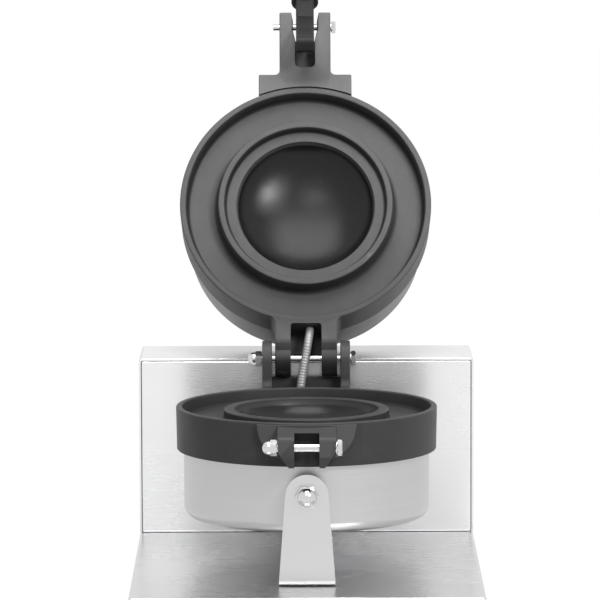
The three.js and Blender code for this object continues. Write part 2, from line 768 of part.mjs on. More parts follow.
// Wire conduit between the casing and the box, shouldered against both and held by two lock nuts.
const conduitStart = casingRadius - casingSheet - conduitNutThickness - 4 * fitGap - casingCorner / 2;
const conduitEnd = boxFrontY + sheet + conduitNutThickness + 3 * fitGap;
const lockNut = { thread: 2 * conduitRadius, flats: conduitNutFlats, nut: conduitNutThickness };
const lockNutReach = Math.sqrt(casingInside ** 2 - (conduitNutFlats / Math.sqrt(3)) ** 2);

function wireConduit() {
  const shoulderStart = casingRadius + fitGap;
  const shoulderEnd = boxFrontY - fitGap;
  return turned(rounded([
    [conduitBore, conduitStart], [conduitRadius, conduitStart],
    [conduitRadius, shoulderStart], [conduitShoulder, shoulderStart],
    [conduitShoulder, shoulderEnd], [conduitRadius, shoulderEnd],
    [conduitRadius, conduitEnd], [conduitBore, conduitEnd],
  ]), smallSides);
}

addPart(machine, "wire_conduit", wireConduit(), zinc, [0, 0, conduitZ], alongY);
addPart(machine, "conduit_nut_front", hexNut(lockNut), zinc,
  [0, lockNutReach - fitGap - conduitNutThickness, conduitZ], alongY);
addPart(machine, "conduit_nut_rear", hexNut(lockNut), zinc, [0, boxFrontY + sheet + fitGap, conduitZ], alongY);

// Hinge bolt with a cap nut on the left, and the latch's fixed pin with the same.
const alongX = [0, -Math.PI / 2, 0];
const alongMinusX = [0, Math.PI / 2, 0];
const crossBolt = (size, halfSpan) => hexBolt(size, 2 * (halfSpan + fitGap) + size.nut);
function addCrossBolt(group, boltName, nutName, size, halfSpan, y, z) {
  addPart(group, boltName, crossBolt(size, halfSpan), chrome, [halfSpan + fitGap, y, z], alongX);
  addPart(group, nutName, capNut(size), chrome, [-halfSpan - fitGap, y, z], alongX);
}

addCrossBolt(machine, "hinge_bolt", "hinge_cap_nut", m6, earOuter, hingeY, hingeZ);
addCrossBolt(machine, "latch_pin", "latch_cap_nut", m6, latchEarOuter, latchPinY, latchPinZ);

// Lid, closed in its own frame, inside a group that turns about the hinge pin.
const lidPivot = new THREE.Group();
lidPivot.position.set(0, hingeY, hingeZ);
lidPivot.rotation.x = -radians(lidOpenAngle);
machine.add(lidPivot);
const lid = new THREE.Group();
lid.position.set(0, -hingeY, lidRimZ - hingeZ);
lidPivot.add(lid);
const pinRise = hingeZ - lidRimZ;

function hingeArms() {
  const inner = armGap / 2;
  const outer = inner + armThickness;
  const rootStart = Math.sqrt((plateRadius - skirtThickness / 2) ** 2 - outer ** 2);
  const outline = rounded([
    [rootStart, rimRounding / 2],
    [plateRadius + rimRounding, rimRounding / 2],
    ...arc(hingeY, pinRise, armEndRadius, -Math.PI / 2, Math.PI / 2, 8),
    [rootStart, plateWall - rimRounding],
  ]);
  const wall = bar("z", plateRadius - skirtThickness / 2, -overrun, plateWall + overrun);
  const arms = extruded("x", outline, -outer, outer).subtract(wall);
  const mouth = plateRadius + rimRounding;
  const fork = extruded("z", rounded([
    [-inner, mouth, rimRounding], [inner, mouth, rimRounding],
    [inner, hingeY + armEndRadius + overrun], [-inner, hingeY + armEndRadius + overrun],
  ]), -overrun, plateWall + overrun);
  return cut(arms, fork, bar("x", threadHole(m6), -outer - overrun, outer + overrun, hingeY, pinRise));
}

function latchLug() {
  const wall = plateRadius - skirtThickness / 2;
  const spread = Math.asin(lugWidth / 2 / wall);
  const frontY = -(plateRadius + lugReach);
  const tipY = -(plateRadius + neckReach);
  const half = lugWidth / 2;
  const neck = neckWidth / 2;
  const lug = extruded("z", [
    ...rounded([
      [-half, frontY], [-neck, frontY, neckFillet], [-neck, frontY - 2 * neckFillet],
      [neck, frontY - 2 * neckFillet], [neck, frontY, neckFillet], [half, frontY],
    ]),
    ...arc(0, 0, wall, -Math.PI / 2 + spread, -Math.PI / 2 - spread, 8).map(([x, y]) => new THREE.Vector2(x, y)),
  ], lugFaceDrop, lugThickness);
  const neckSide = rounded([
    [frontY, lugFaceDrop],
    [frontY, neckThickness + lugFaceDrop],
    [tipY, neckThickness + lugFaceDrop, neckThickness / 2],
    [tipY, lugFaceDrop, neckFillet],
  ]);
  const pocketTop = -(plateRadius + pocketReach);
  const slotTop = -(plateRadius + slotReach);
  const slotSide = [
    [tipY - overrun, -overrun],
    [pocketTop, -overrun],
    ...arc(pocketTop - pocketDepth, 0, pocketDepth, 0, Math.PI / 2, 4),
    [slotTop, pocketDepth],
    [slotTop, lugThickness + overrun],
    [tipY - overrun, lugThickness + overrun],
  ].map(([y, z]) => new THREE.Vector2(y, z));
  return cut(
    join(lug, extruded("x", neckSide, -neck, neck)),
    extruded("x", slotSide, -slotWidth / 2, slotWidth / 2),
    bar("x", m5.thread / 2 + fitGap, -neck - overrun, neck + overrun, -(plateRadius + leverPinReach), leverPinRise),
  );
}

// The lead enters the lid through a slanted drilling between the hinge arms.
const leadMouth = new THREE.Vector3(leadHoleOffset, plateRadius + rimRounding, leadHoleDepth);
const leadSlant = radians(45);

function lidPlate() {
  const drilling = new THREE.CylinderGeometry(leadHoleRadius, leadHoleRadius, leadHoleLength, smallSides);
  drilling.rotateX(-leadSlant);
  drilling.translate(leadMouth.x, leadMouth.y, leadMouth.z);
  return cut(join(turned(plateOutline(lidSealDepth)), hingeArms(), latchLug()), solidOf(drilling));
}

const lidCasingStart = plateWall - casingTuck;
addPart(lid, "lid_plate", lidPlate(), castBlack);
addPart(lid, "lid_casing", casing(lidDepth - lidCasingStart), satinSteel, [0, 0, lidDepth], [Math.PI, 0, 0]);
const lidEnd = addHeaterSet(lid, "lid", lidSealDepth, lidDepth, 0, 1, m8);
addPart(lid, "lid_casing_nut", capNut(m8), chrome, lidEnd.seat, lidEnd.turn);

// Latch lever: it hooks under the fixed pin when its handle is pressed down.
const leverY = -(plateRadius + leverPinReach);
const leverPinZ = lidRimZ + leverPinRise;
const hookSpan = Math.hypot(latchPinY - leverY, latchPinZ - leverPinZ);
const hookAngle = Math.atan2(latchPinZ - leverPinZ, latchPinY - leverY);
const neckHalf = neckWidth / 2;
addPart(lid, "lever_pin", hexBolt(m5, 2 * neckHalf + m5.thread + fitGap), chrome,
  [neckHalf + fitGap, leverY, leverPinRise], alongX);

const lever = new THREE.Group();
lever.position.set(0, leverY, leverPinRise);
lever.rotation.x = -radians(leverRaiseAngle);
lid.add(lever);

function latchLever() {
  const half = leverThickness / 2;
  const throat = m6.thread / 2 + fitGap;
  const along = new THREE.Vector2(Math.cos(hookAngle), Math.sin(hookAngle));
  const across = new THREE.Vector2(-along.y, along.x);
  const hook = rounded([
    [-leverBossRadius / 2, hookArmHalf],
    [hookSpan - throat, hookArmHalf, sheet],
    [hookSpan - throat, -throat, throat / 2],
    [hookSpan + throat, -throat, throat / 2],
    [hookSpan + throat, hookArmHalf - sheet, sheet / 2],
    [hookSpan + throat + hookLip, hookArmHalf / 3, hookLip / 2],
    [hookSpan + throat + hookLip, -throat - hookBack, hookBack],
    [hookSpan / 2, -throat - hookBack / 2, hookBack * 2],
    [0, -leverBossRadius],
  ]).map((p) => along.clone().multiplyScalar(p.x).addScaledVector(across, p.y));
  const arm = rectangle(-leverBarLength, 0, -leverBarHeight / 2, leverBarHeight / 2);
  const tang = leverBarLength + collarThickness + gripLength;
  return cut(
    join(
      extruded("x", hook, -half, half),
      extruded("x", arm, -half, half),
      bar("x", leverBossRadius, -half, half),
      bar("y", m8.thread / 2, -tang - m8.nut, -leverBarLength / 2),
    ),
    bar("x", m5.thread / 2 + runningGap, -half - overrun, half + overrun),
  );
}

function gripOutline() {
  return rounded([
    [threadHole(m8), 0],
    [gripNeckRadius, 0, sheet],
    [gripNeckRadius + sheet, gripLength / 10, gripLength / 12],
    [gripRadius, gripLength / 2, gripLength / 3],
    [gripRadius - sheet / 2, gripLength - gripRadius / 2, gripRadius / 2],
    [gripNeckRadius - sheet, gripLength, gripRadius / 4],
    [threadHole(m8), gripLength],
  ]);
}

addPart(lever, "latch_lever", latchLever(), leverBlack);
addPart(lever, "grip_collar", turned(rounded([
  [threadHole(m8), 0], [collarRadius, 0, sheet / 2], [collarRadius, collarThickness, sheet / 2],
  [threadHole(m8), collarThickness],
]), smallSides), leverBlack, [0, -leverBarLength - fitGap, 0], alongMinusY);
addPart(lever, "handle_grip", turned(gripOutline(), smallSides), bakelite,
  [0, -leverBarLength - collarThickness - 2 * fitGap, 0], alongMinusY);
addPart(lever, "grip_nut", capNut(m8), chrome,
  [0, -leverBarLength - collarThickness - gripLength - 3 * fitGap, 0], alongMinusY);

// Lid lead: a sheathed cable from a grommet in the box front, up between the hinge ears, into the lid.
const leadEntry = opened(leadMouth.x, leadMouth.y, leadMouth.z);
const leadInside = opened(leadMouth.x,
  leadMouth.y - leadRadius * Math.cos(leadSlant), leadMouth.z + leadRadius * Math.sin(leadSlant));
const leadBends = [
  [-4.7, 3.3, -48],
  [-4.9, -6.7, -42],
  [-4.9, -11, -31.5],
  [-4, -10.6, -19.5],
  [-2.2, -8.9, -7.5],
  [-0.2, -7, 3.5],
  [1.6, -4.4, 13.5],
];
const leadPoints = [
  [-leadOffset, boxFrontY + 2 * leadRadius, leadExitZ],
  [-leadOffset, boxFrontY - 2 * leadRadius, leadExitZ],
  ...leadBends.map(([x, fromPin, abovePin]) => [x, hingeY + fromPin, hingeZ + abovePin]),
  leadEntry.toArray(),
  leadInside.toArray(),
].map((p) => new THREE.Vector3(...p));

function lidLead() {
  const section = new THREE.Shape(circle(leadRadius, sweepSides));
  const path = new THREE.CatmullRomCurve3(leadPoints, false, "centripetal");
  return solidOf(new THREE.ExtrudeGeometry(section, { steps: leadSteps, extrudePath: path }));
}

addPart(machine, "lid_lead", lidLead(), sheath);
addPart(machine, "lead_grommet", turned(rounded([
  [leadRadius + fitGap, -2 * sheet],
  [leadGrommetRadius, -2 * sheet, sheet / 2],
  [leadGrommetRadius, -fitGap],
  [leadGrommetRadius - sheet - fitGap, -fitGap],
  [leadGrommetRadius - sheet - fitGap, sheet + fitGap],
  [leadGrommetRadius, sheet + fitGap],
  [leadGrommetRadius, 2 * sheet + fitGap],
  [leadRadius + fitGap, 2 * sheet + fitGap],
]), smallSides), rubber, [-leadOffset, boxFrontY, leadExitZ], alongY);

// Controls on the front of the base.
function knob() {
  const fluted = Array.from({ length: knobFlutes * 4 }, (_, k) => {
    const angle = (k / (knobFlutes * 4)) * 2 * Math.PI;
    const radius = knobGripRadius + (sheet / 2) * Math.cos(knobFlutes * angle);
    return new THREE.Vector2(radius * Math.cos(angle), radius * Math.sin(angle));
  });
  const skirt = turned(rounded([
    [0, 0], [knobRadius, 0], [knobRadius, knobSkirt / 2, sheet / 3], [knobGripRadius, knobSkirt], [0, knobSkirt],
  ], false), 2 * smallSides);
  const pointer = block(-sheet / 2, sheet / 2, knobGripRadius / 2, knobGripRadius, knobHeight / 2, knobHeight + sheet / 2);
  const bore = dShaft(spindleRadius + fitGap, -overrun, knobBore);
  return cut(join(skirt, extruded("z", fluted, knobSkirt / 2, knobHeight), pointer), bore);
}

function dShaft(radius, from, to) {
  const flat = spindleRadius - spindleFlat + (radius - spindleRadius);
  return cut(bar("z", radius, from, to), block(-radius, radius, flat, 2 * radius, from - overrun, to + overrun));
}

// A knob with its spindle, and the switch body that it turns behind the panel.
const panelY = -plateSetback;
const panelBackY = panelY + sheet;
function addRotary(name, bodyName, width, depth, x) {
  const back = panelBackY + fitGap;
  addPart(machine, name + "_knob", knob(), plasticBlack, [x, panelY - fitGap, controlZ], alongMinusY);
  addPart(machine, name + "_spindle", dShaft(spindleRadius, -depth / 3, knobBore - fitGap), zinc,
    [x, panelY - fitGap, controlZ], alongMinusY);
  const half = width / 2;
  const body = foldedBlock(-half, half, -half, half, 0, depth, sheet, sheet);
  const socket = bar("z", spindleRadius + fitGap, -overrun, depth / 2);
  addPart(machine, bodyName, cut(body, socket), zinc, [x, back, controlZ], alongY);
}

addRotary("temperature", "thermostat", thermostatWidth, thermostatDepth, controlX("temperature"));
addRotary("timer", "timer_movement", timerWidth, timerDepth, controlX("timer"));

function lamp() {
  const dome = lampBezel + lampRadius / 2;
  return turned(rounded([
    [0, -lampBody],
    [lampRadius, -lampBody],
    [lampRadius, fitGap],
    [lampBezelRadius, fitGap],
    [lampBezelRadius, lampBezel, lampBezel / 3],
    [lampRadius, lampBezel],
    [lampRadius * 2 / 3, dome, lampRadius / 2],
    [0, dome],
  ], false), smallSides);
}

addPart(machine, "power_lamp", lamp(), greenLens, [controlX("powerLamp"), panelY, controlZ], alongMinusY);
addPart(machine, "heating_lamp", lamp(), redLens, [controlX("heatLamp"), panelY, controlZ], alongMinusY);

function switchFrame() {
  const w = switchWidth / 2;
  const h = switchHeight / 2;
  const flange = extruded("y", rectangle(-w - switchBezel, w + switchBezel, -h - switchBezel, h + switchBezel, sheet),
    -switchBezel, -fitGap);
  const body = block(-w, w, -fitGap - overrun / 2, switchDepth, -h, h);
  const well = block(-w + sheet, w - sheet, -switchBezel - overrun, switchDepth / 2, -h + sheet, h - sheet);
  return cut(join(flange, body), well);
}

// The rocker's face is two planes that meet over its pivot.
function rocker() {
  const w = switchWidth / 2 - sheet - fitGap;
  const h = switchHeight / 2 - sheet - 2 * fitGap;
  const tilt = radians(rockerTilt);
  const rise = h * Math.tan(tilt);
  const outline = rounded([
    [-switchBezel - sheet - rise, h * Math.cos(tilt)],
    [-switchBezel - sheet, 0],
    [-switchBezel - sheet - rise, -h * Math.cos(tilt)],
    [0, -h * Math.cos(tilt) + rise, sheet],
    [switchDepth / 4, 0, sheet],
    [0, h * Math.cos(tilt) - rise, sheet],
  ]);
  return extruded("x", outline, -w, w);
}

addPart(machine, "power_switch", switchFrame(), plasticBlack, [controlX("power"), panelY, controlZ]);
addPart(machine, "power_rocker", rocker(), plasticBlack, [controlX("power"), panelY + switchBezel, controlZ],
  [radians(rockerTilt), 0, 0]);

// Terminal block and cable gland in the box.
function terminalBlock() {
  const pitch = terminalLength / terminalPoles;
  const half = terminalLength / 2;
  const body = extruded("x", rounded([
    [-pitch, 0], [pitch, 0], [pitch, pitch, sheet], [pitch / 2, pitch * 1.5, sheet],
    [-pitch / 2, pitch * 1.5, sheet], [-pitch, pitch, sheet],
  ]), -half, half);
  const wells = Array.from({ length: terminalPoles }, (_, k) =>
    bar("z", pitch / 4, pitch, pitch * 1.5 + overrun, -half + pitch * (k + 1 / 2), 0, 8));
  return cut(body, ...wells);
}

addPart(machine, "terminal_block", terminalBlock(), plasticWhite,
  [-baseWidth / 4, (boxFrontY + boxBackY) / 2, deckZ + fitGap]);

function cableGland() {
  const hex = hexagon({ flats: glandFlats }, fitGap, glandLength / 3);
  const dome = turned(rounded([
    [0, fitGap + glandLength / 4],
    [glandFlats / 2, glandLength / 4],
    [glandFlats / 2, glandLength * 3 / 4, sheet],
    [glandHoleRadius, glandLength, sheet],
    [0, glandLength],
  ], false), smallSides);
  const shank = bar("z", glandHoleRadius, -sheet - glandLength / 3, glandLength / 4);
  return cut(join(hex, dome, shank), bar("z", glandBore, -glandLength, glandLength + overrun));
}

addPart(machine, "cable_gland", cableGland(), plasticBlack, [glandX, boxBackY, glandZ], alongY);
addPart(machine, "gland_lock_nut", hexNut({ thread: 2 * glandHoleRadius, flats: glandFlats, nut: glandLength / 4 }),
  plasticBlack, [glandX, boxBackY - sheet - fitGap, glandZ], alongMinusY);

// The origin stands on the worktop, under the middle of the outline with the lid open.
const outline = new THREE.Box3().setFromObject(machine, true);
machine.position.y = -(outline.min.y + outline.max.y) / 2;

const group = new THREE.Group();
group.add(machine);

export default group;
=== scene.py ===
import json
import math

import bmesh
import bpy
from mathutils import Matrix, Vector


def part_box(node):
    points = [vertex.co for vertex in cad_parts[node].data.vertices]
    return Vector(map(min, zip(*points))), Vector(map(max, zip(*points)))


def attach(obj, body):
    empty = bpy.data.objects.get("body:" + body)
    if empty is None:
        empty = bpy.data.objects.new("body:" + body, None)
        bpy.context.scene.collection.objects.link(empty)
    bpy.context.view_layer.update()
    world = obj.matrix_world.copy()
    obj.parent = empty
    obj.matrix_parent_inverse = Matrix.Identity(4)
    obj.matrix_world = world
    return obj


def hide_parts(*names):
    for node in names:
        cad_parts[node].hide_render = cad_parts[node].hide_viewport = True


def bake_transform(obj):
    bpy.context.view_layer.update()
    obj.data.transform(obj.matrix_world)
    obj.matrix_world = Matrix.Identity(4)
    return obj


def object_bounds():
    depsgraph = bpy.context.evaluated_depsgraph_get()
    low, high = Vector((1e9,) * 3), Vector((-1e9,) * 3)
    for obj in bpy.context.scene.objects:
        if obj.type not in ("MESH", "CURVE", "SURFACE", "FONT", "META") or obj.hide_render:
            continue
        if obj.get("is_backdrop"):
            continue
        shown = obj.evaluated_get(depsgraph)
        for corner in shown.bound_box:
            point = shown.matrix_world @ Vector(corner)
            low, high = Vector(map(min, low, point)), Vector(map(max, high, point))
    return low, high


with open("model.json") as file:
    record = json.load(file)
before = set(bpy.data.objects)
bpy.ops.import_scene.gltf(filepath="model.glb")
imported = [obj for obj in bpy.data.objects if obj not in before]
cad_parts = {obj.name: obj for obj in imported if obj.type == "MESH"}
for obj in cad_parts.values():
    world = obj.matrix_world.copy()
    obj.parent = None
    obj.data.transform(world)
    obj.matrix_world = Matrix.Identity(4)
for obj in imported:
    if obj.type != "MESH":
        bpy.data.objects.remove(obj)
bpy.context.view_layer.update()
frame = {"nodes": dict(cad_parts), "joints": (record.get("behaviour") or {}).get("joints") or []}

nodes = frame["nodes"]
joints = {joint["name"]: joint for joint in frame["joints"]}

# Places that several pieces share, in millimetres; the plates' axis is at x = y = 0
common = {
    "sheet": 1.5, "gap": 0.3,
    "hingeY": 117.2, "hingeRise": 18, "lidGap": 0.6, "openAngle": 117.5, "raiseAngle": 16,
    "plateRadius": 94, "plateWall": 31, "skirt": 5, "casingRadius": 88.4,
    "deckZ": 62, "rimZ": 177.5, "baseHalf": 125, "baseFrontY": -143, "boxFrontY": 136.2, "boxBackY": 211.2,
}
deck, gap = common["deckZ"], common["gap"]


def about(axis, degrees):
    return Matrix.Rotation(math.radians(degrees), 4, axis)


pinPlace = Vector(joints["lid_hinge"]["pos_m"])
latchPlace = Vector(joints["latch_pivot"]["pos_m"])
millimetres = Matrix.Scale(0.001, 4)
machine = Matrix.Translation((0, pinPlace.y - common["hingeY"] * 0.001, 0)) @ millimetres
lowerPlace = machine @ Matrix.Translation((0, 0, common["rimZ"]))
openTurn = about("X", -common["openAngle"])
lidTurn = Matrix.Translation(pinPlace) @ openTurn @ millimetres
lidPlace = lidTurn @ Matrix.Translation((0, -common["hingeY"], common["lidGap"] - common["hingeRise"]))
leverTurn = about("X", -common["openAngle"] - common["raiseAngle"])
leverPlace = Matrix.Translation(latchPlace) @ leverTurn @ millimetres

print("frame loaded:", len(nodes), "nodes")


# Making of meshes
weldGap = 1e-4
planeSpot = {
    "xy": lambda a, b: Vector((a, b, 0)),
    "xz": lambda a, b: Vector((a, 0, b)),
    "yz": lambda a, b: Vector((0, a, b)),
}
planeNormal = {"xy": Vector((0, 0, 1)), "xz": Vector((0, 1, 0)), "yz": Vector((1, 0, 0))}


def arc(a, b, radius, start, end, steps, squash=1):  # corners on a round stretch, angles in degrees
    turns = [math.radians(start + (end - start) * k / steps) for k in range(steps + 1)]
    return [(a + radius * math.cos(t), b + radius * squash * math.sin(t)) for t in turns]


def bevelled(bm, geometry, kind, offset, segments, clamped=True):
    bmesh.ops.bevel(bm, geom=geometry, offset=offset, offset_type="OFFSET", affect=kind, segments=segments,
                    profile=0.5, material=-1, clamp_overlap=clamped)


def newOnes(grown, kind=bmesh.types.BMVert):  # what an extrusion made, of one kind
    return [item for item in grown["geom"] if isinstance(item, kind)]


def bothSides(half):  # the left half of an outline, then the right half back
    return [(-corner[0], *corner[1:]) for corner in half] + half[::-1]


def outlineFace(bm, corners, plane, steps=6):  # a corner is (a, b) or (a, b, radius)
    spots = [planeSpot[plane](*corner[:2]) for corner in corners]
    points = [bm.verts.new(spot) for spot in spots]
    bm.faces.new(points)
    for number, corner in enumerate(corners):
        if len(corner) < 3:
            continue
        before = spots[number - 1] - spots[number]
        after = spots[(number + 1) % len(spots)] - spots[number]
        reach = min(corner[2] / math.tan(before.angle(after) / 2), before.length / 2, after.length / 2)
        bevelled(bm, [points[number]], "VERTICES", reach * 0.999, steps, False)


def turned(corners, steps=128, cornerSteps=6):  # an outline in radius and height, spun about Z
    bm = bmesh.new()
    outlineFace(bm, corners, "xz", cornerSteps)
    bmesh.ops.delete(bm, geom=bm.faces[:], context="FACES_ONLY")
    onAxis = [edge for edge in bm.edges if all(abs(vert.co.x) < 1e-5 for vert in edge.verts)]
    bmesh.ops.delete(bm, geom=onAxis, context="EDGES")
    bmesh.ops.spin(bm, geom=bm.verts[:] + bm.edges[:], cent=(0, 0, 0), axis=(0, 0, 1), dvec=(0, 0, 0),
                   angle=2 * math.pi, steps=steps, use_merge=True)
    return tidied(bm)


def tidied(bm):
    bmesh.ops.remove_doubles(bm, verts=bm.verts[:], dist=weldGap)
    bmesh.ops.recalc_face_normals(bm, faces=bm.faces[:])
    return bm


def softened(bm, width, steps=3, angle=35):  # rounds the edges that are sharper than the angle
    sharp = [edge for edge in bm.edges if len(edge.link_faces) == 2
             and edge.calc_face_angle(0) > math.radians(angle)]
    if sharp and width > 0:
        bevelled(bm, sharp, "EDGES", width, steps)
    return tidied(bm)


def shifted(bm, way):
    bmesh.ops.translate(bm, verts=bm.verts[:], vec=way)


def raised(bm, way):  # a face grows into a solid
    grown = bmesh.ops.extrude_face_region(bm, geom=bm.faces[:])
    bmesh.ops.translate(bm, verts=newOnes(grown), vec=way)


def pushed(corners, plane, low, high, soft=0, steps=6, softSteps=3):  # an outline pushed along its normal
    bm = bmesh.new()
    outlineFace(bm, corners, plane, steps)
    shifted(bm, planeNormal[plane] * low)
    raised(bm, planeNormal[plane] * (high - low))
    return softened(tidied(bm), soft, softSteps)


def slab(x0, x1, y0, y1, z0, z1, soft=0, softSteps=3):
    return pushed([(x0, y0), (x1, y0), (x1, y1), (x0, y1)], "xy", z0, z1, soft, 1, softSteps)


def rod(radius, low, high, plane="xy", a=0, b=0, sides=48, soft=0):
    return pushed(arc(a, b, radius, 0, 360 * (sides - 1) / sides, sides - 1), plane, low, high, soft, 1, 2)


def moved(bm, matrix):
    bmesh.ops.transform(bm, matrix=matrix, verts=bm.verts[:])
    if matrix.determinant() < 0:
        bmesh.ops.reverse_faces(bm, faces=bm.faces[:])
    return bm


def meshOf(bm, name):
    mesh = bpy.data.meshes.new(name)
    bm.to_mesh(mesh)
    bm.free()
    return mesh


def gathered(*parts):  # several closed bodies in one mesh
    whole = bmesh.new()
    for part in parts:
        mesh = meshOf(part, "part")
        whole.from_mesh(mesh)
        bpy.data.meshes.remove(mesh)
    return whole


def linked(name, data):  # a new object in the scene
    item = bpy.data.objects.new(name, data)
    bpy.context.scene.collection.objects.link(item)
    return item


def carved(body, steps):  # exact booleans in turn, each an operation and its tool
    items = [linked("work", meshOf(body, "work"))]
    for operation, shape in steps:
        items.append(linked("tool", meshOf(shape, "tool")))
        step = items[0].modifiers.new(operation, "BOOLEAN")
        step.operation = operation
        step.solver = "EXACT"
        step.object = items[-1]
    result = bmesh.new()
    result.from_object(items[0], bpy.context.evaluated_depsgraph_get())
    for item in items:
        mesh = item.data
        bpy.data.objects.remove(item)
        bpy.data.meshes.remove(mesh)
    return result


def combined(body, joined=(), cuts=()):
    result = carved(body, [("UNION", shape) for shape in joined] + [("DIFFERENCE", shape) for shape in cuts])
    bmesh.ops.remove_doubles(result, verts=result.verts[:], dist=weldGap)
    return result


def intersected(first, second):
    return carved(first, [("INTERSECT", second)])


def at(place, x, y, z, turn=Matrix.Identity(4)):
    return place @ Matrix.Translation((x, y, z)) @ turn


def dressed(bm, name, kind, place, replaced):
    mesh = meshOf(moved(bm, place), name)
    mesh.polygons.foreach_set("use_smooth", [True] * len(mesh.polygons))
    mesh.materials.append(finish[kind])
    piece = linked(name, mesh)
    if replaced:
        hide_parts(*replaced)
    return piece


def placed(bm, name, body, kind, place, replaced=(), smooth=35):
    piece = dressed(bm, name, kind, place, replaced)
    piece.data.set_sharp_from_angle(angle=math.radians(smooth))
    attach(piece, body)
    crisp = piece.modifiers.new("crisp", "WEIGHTED_NORMAL")  # keeps the broad faces flat beside their soft edges
    crisp.keep_sharp = True
    return piece


# Finishes: every one reads Object coordinates, centred on its piece where the pattern turns with it
def newFinish(name, colour, metallic, roughness, **more):  # what is left over goes to the shader's other sockets
    material = bpy.data.materials.new(name)
    material.use_nodes = True
    tree = material.node_tree
    shader = tree.nodes["Principled BSDF"]
    values = {"Base Color": (*colour, 1), "Metallic": metallic, "Roughness": roughness, **more}
    for key, value in values.items():
        shader.inputs[key].default_value = value
    return material, tree, shader


def feed(tree, socket, value):  # a socket takes a link or a plain value
    if isinstance(value, bpy.types.NodeSocket):
        tree.links.new(value, socket)
    else:
        socket.default_value = value


def add(tree, kind, **values):  # a node with its settings and its named sockets
    node = tree.nodes.new(kind)
    for key, value in values.items():
        if hasattr(node, key):
            setattr(node, key, value)
        else:
            feed(tree, node.inputs[key], value)
    return node


def reckoned(tree, operation, *values, kind="ShaderNodeMath", result="Value"):
    node = add(tree, kind, operation=operation)
    for socket, value in zip(node.inputs, values):
        feed(tree, socket, value)
    return node.outputs[result]


def mixed(tree, share, first, second, kind="RGBA", way="MIX"):
    return add(tree, "ShaderNodeMix", data_type=kind, blend_type=way, Factor=share, A=first, B=second).outputs["Result"]


def coordinates(tree, place=None, stretch=(1, 1, 1)):  # metres, turned into the piece's own frame
    here = add(tree, "ShaderNodeTexCoord").outputs["Object"]
    turn = add(tree, "ShaderNodeMapping", vector_type="TEXTURE", Vector=here)
    if place is not None:
        turn.inputs["Location"].default_value = place.to_translation()
        turn.inputs["Rotation"].default_value = place.to_euler()
    grow = add(tree, "ShaderNodeMapping", vector_type="POINT", Scale=stretch, Vector=turn.outputs["Vector"])
    return grow.outputs["Vector"]


def noise(tree, vector, scale, detail=3, roughness=0.55):
    node = add(tree, "ShaderNodeTexNoise", Vector=vector, Scale=scale, Detail=detail, Roughness=roughness)
    return node.outputs["Fac"]


def spread(tree, value, low, high, start=0.3, end=0.7):
    limits = {"From Min": start, "From Max": end, "To Min": low, "To Max": high}
    return add(tree, "ShaderNodeMapRange", Value=value, **limits).outputs["Result"]


def toned(tree, pattern, colour, tone, start=0.3, end=0.7):  # a little darker and lighter by a pattern
    dark, light = ([min(1, channel * share) for channel in colour] for share in (1 - tone, 1 + tone))
    return mixed(tree, spread(tree, pattern, 0, 1, start, end), (*dark, 1), (*light, 1))


def painted(tree, shader, colour, roughness):
    tree.links.new(colour, shader.inputs["Base Color"])
    tree.links.new(roughness, shader.inputs["Roughness"])


def bumped(tree, shader, height, strength, distance, before=None):
    node = add(tree, "ShaderNodeBump", Strength=strength, Distance=distance, Height=height)
    if before is not None:
        tree.links.new(before, node.inputs["Normal"])
    tree.links.new(node.outputs["Normal"], shader.inputs["Normal"])
    return node.outputs["Normal"]


def fromAxis(tree, here):  # the coordinates one by one, and the distance from the axis
    parts = add(tree, "ShaderNodeSeparateXYZ", Vector=here).outputs
    flatPlace = add(tree, "ShaderNodeCombineXYZ", X=parts["X"], Y=parts["Y"]).outputs["Vector"]
    return parts, reckoned(tree, "LENGTH", flatPlace, kind="ShaderNodeVectorMath")


brushed = {
    "along": 6, "across": 900, "smudges": 14, "tone": 0.01, "lineGloss": 0.005, "smudgeGloss": (-0.01, 0.014),
    "lowAngle": (0.86, 0.86, 0.86, 1), "bump": 0.006, "depth": 0.00001,
}


def brushedSteel(name, colour, roughness, brushing, across):  # fine lines along one axis, faint smudges
    b = brushed
    more = {"Anisotropic": across, "Specular Tint": b["lowAngle"]}  # the tint keeps it below white at a low angle
    material, tree, shader = newFinish(name, colour, 1, roughness, **more)
    stretch = [b["along"] if share else b["across"] for share in brushing]
    lines = noise(tree, coordinates(tree, None, stretch), 1, 4)
    smudges = noise(tree, coordinates(tree), b["smudges"], 3)
    streaks = spread(tree, lines, roughness - b["lineGloss"], roughness + b["lineGloss"])
    gloss = reckoned(tree, "ADD", streaks, spread(tree, smudges, *b["smudgeGloss"]))
    painted(tree, shader, toned(tree, smudges, colour, b["tone"]), gloss)
    facing = add(tree, "ShaderNodeNewGeometry").outputs["Normal"]  # the gloss spreads across the brushing
    turn = reckoned(tree, "CROSS_PRODUCT", facing, brushing, kind="ShaderNodeVectorMath", result="Vector")
    tree.links.new(turn, shader.inputs["Tangent"])
    bumped(tree, shader, lines, b["bump"], b["depth"])
    return material


rings = {"metal": 0.85, "fine": 1100, "wander": 9, "smudges": 18, "tone": 0.02, "bump": 0.03, "depth": 0.00005}


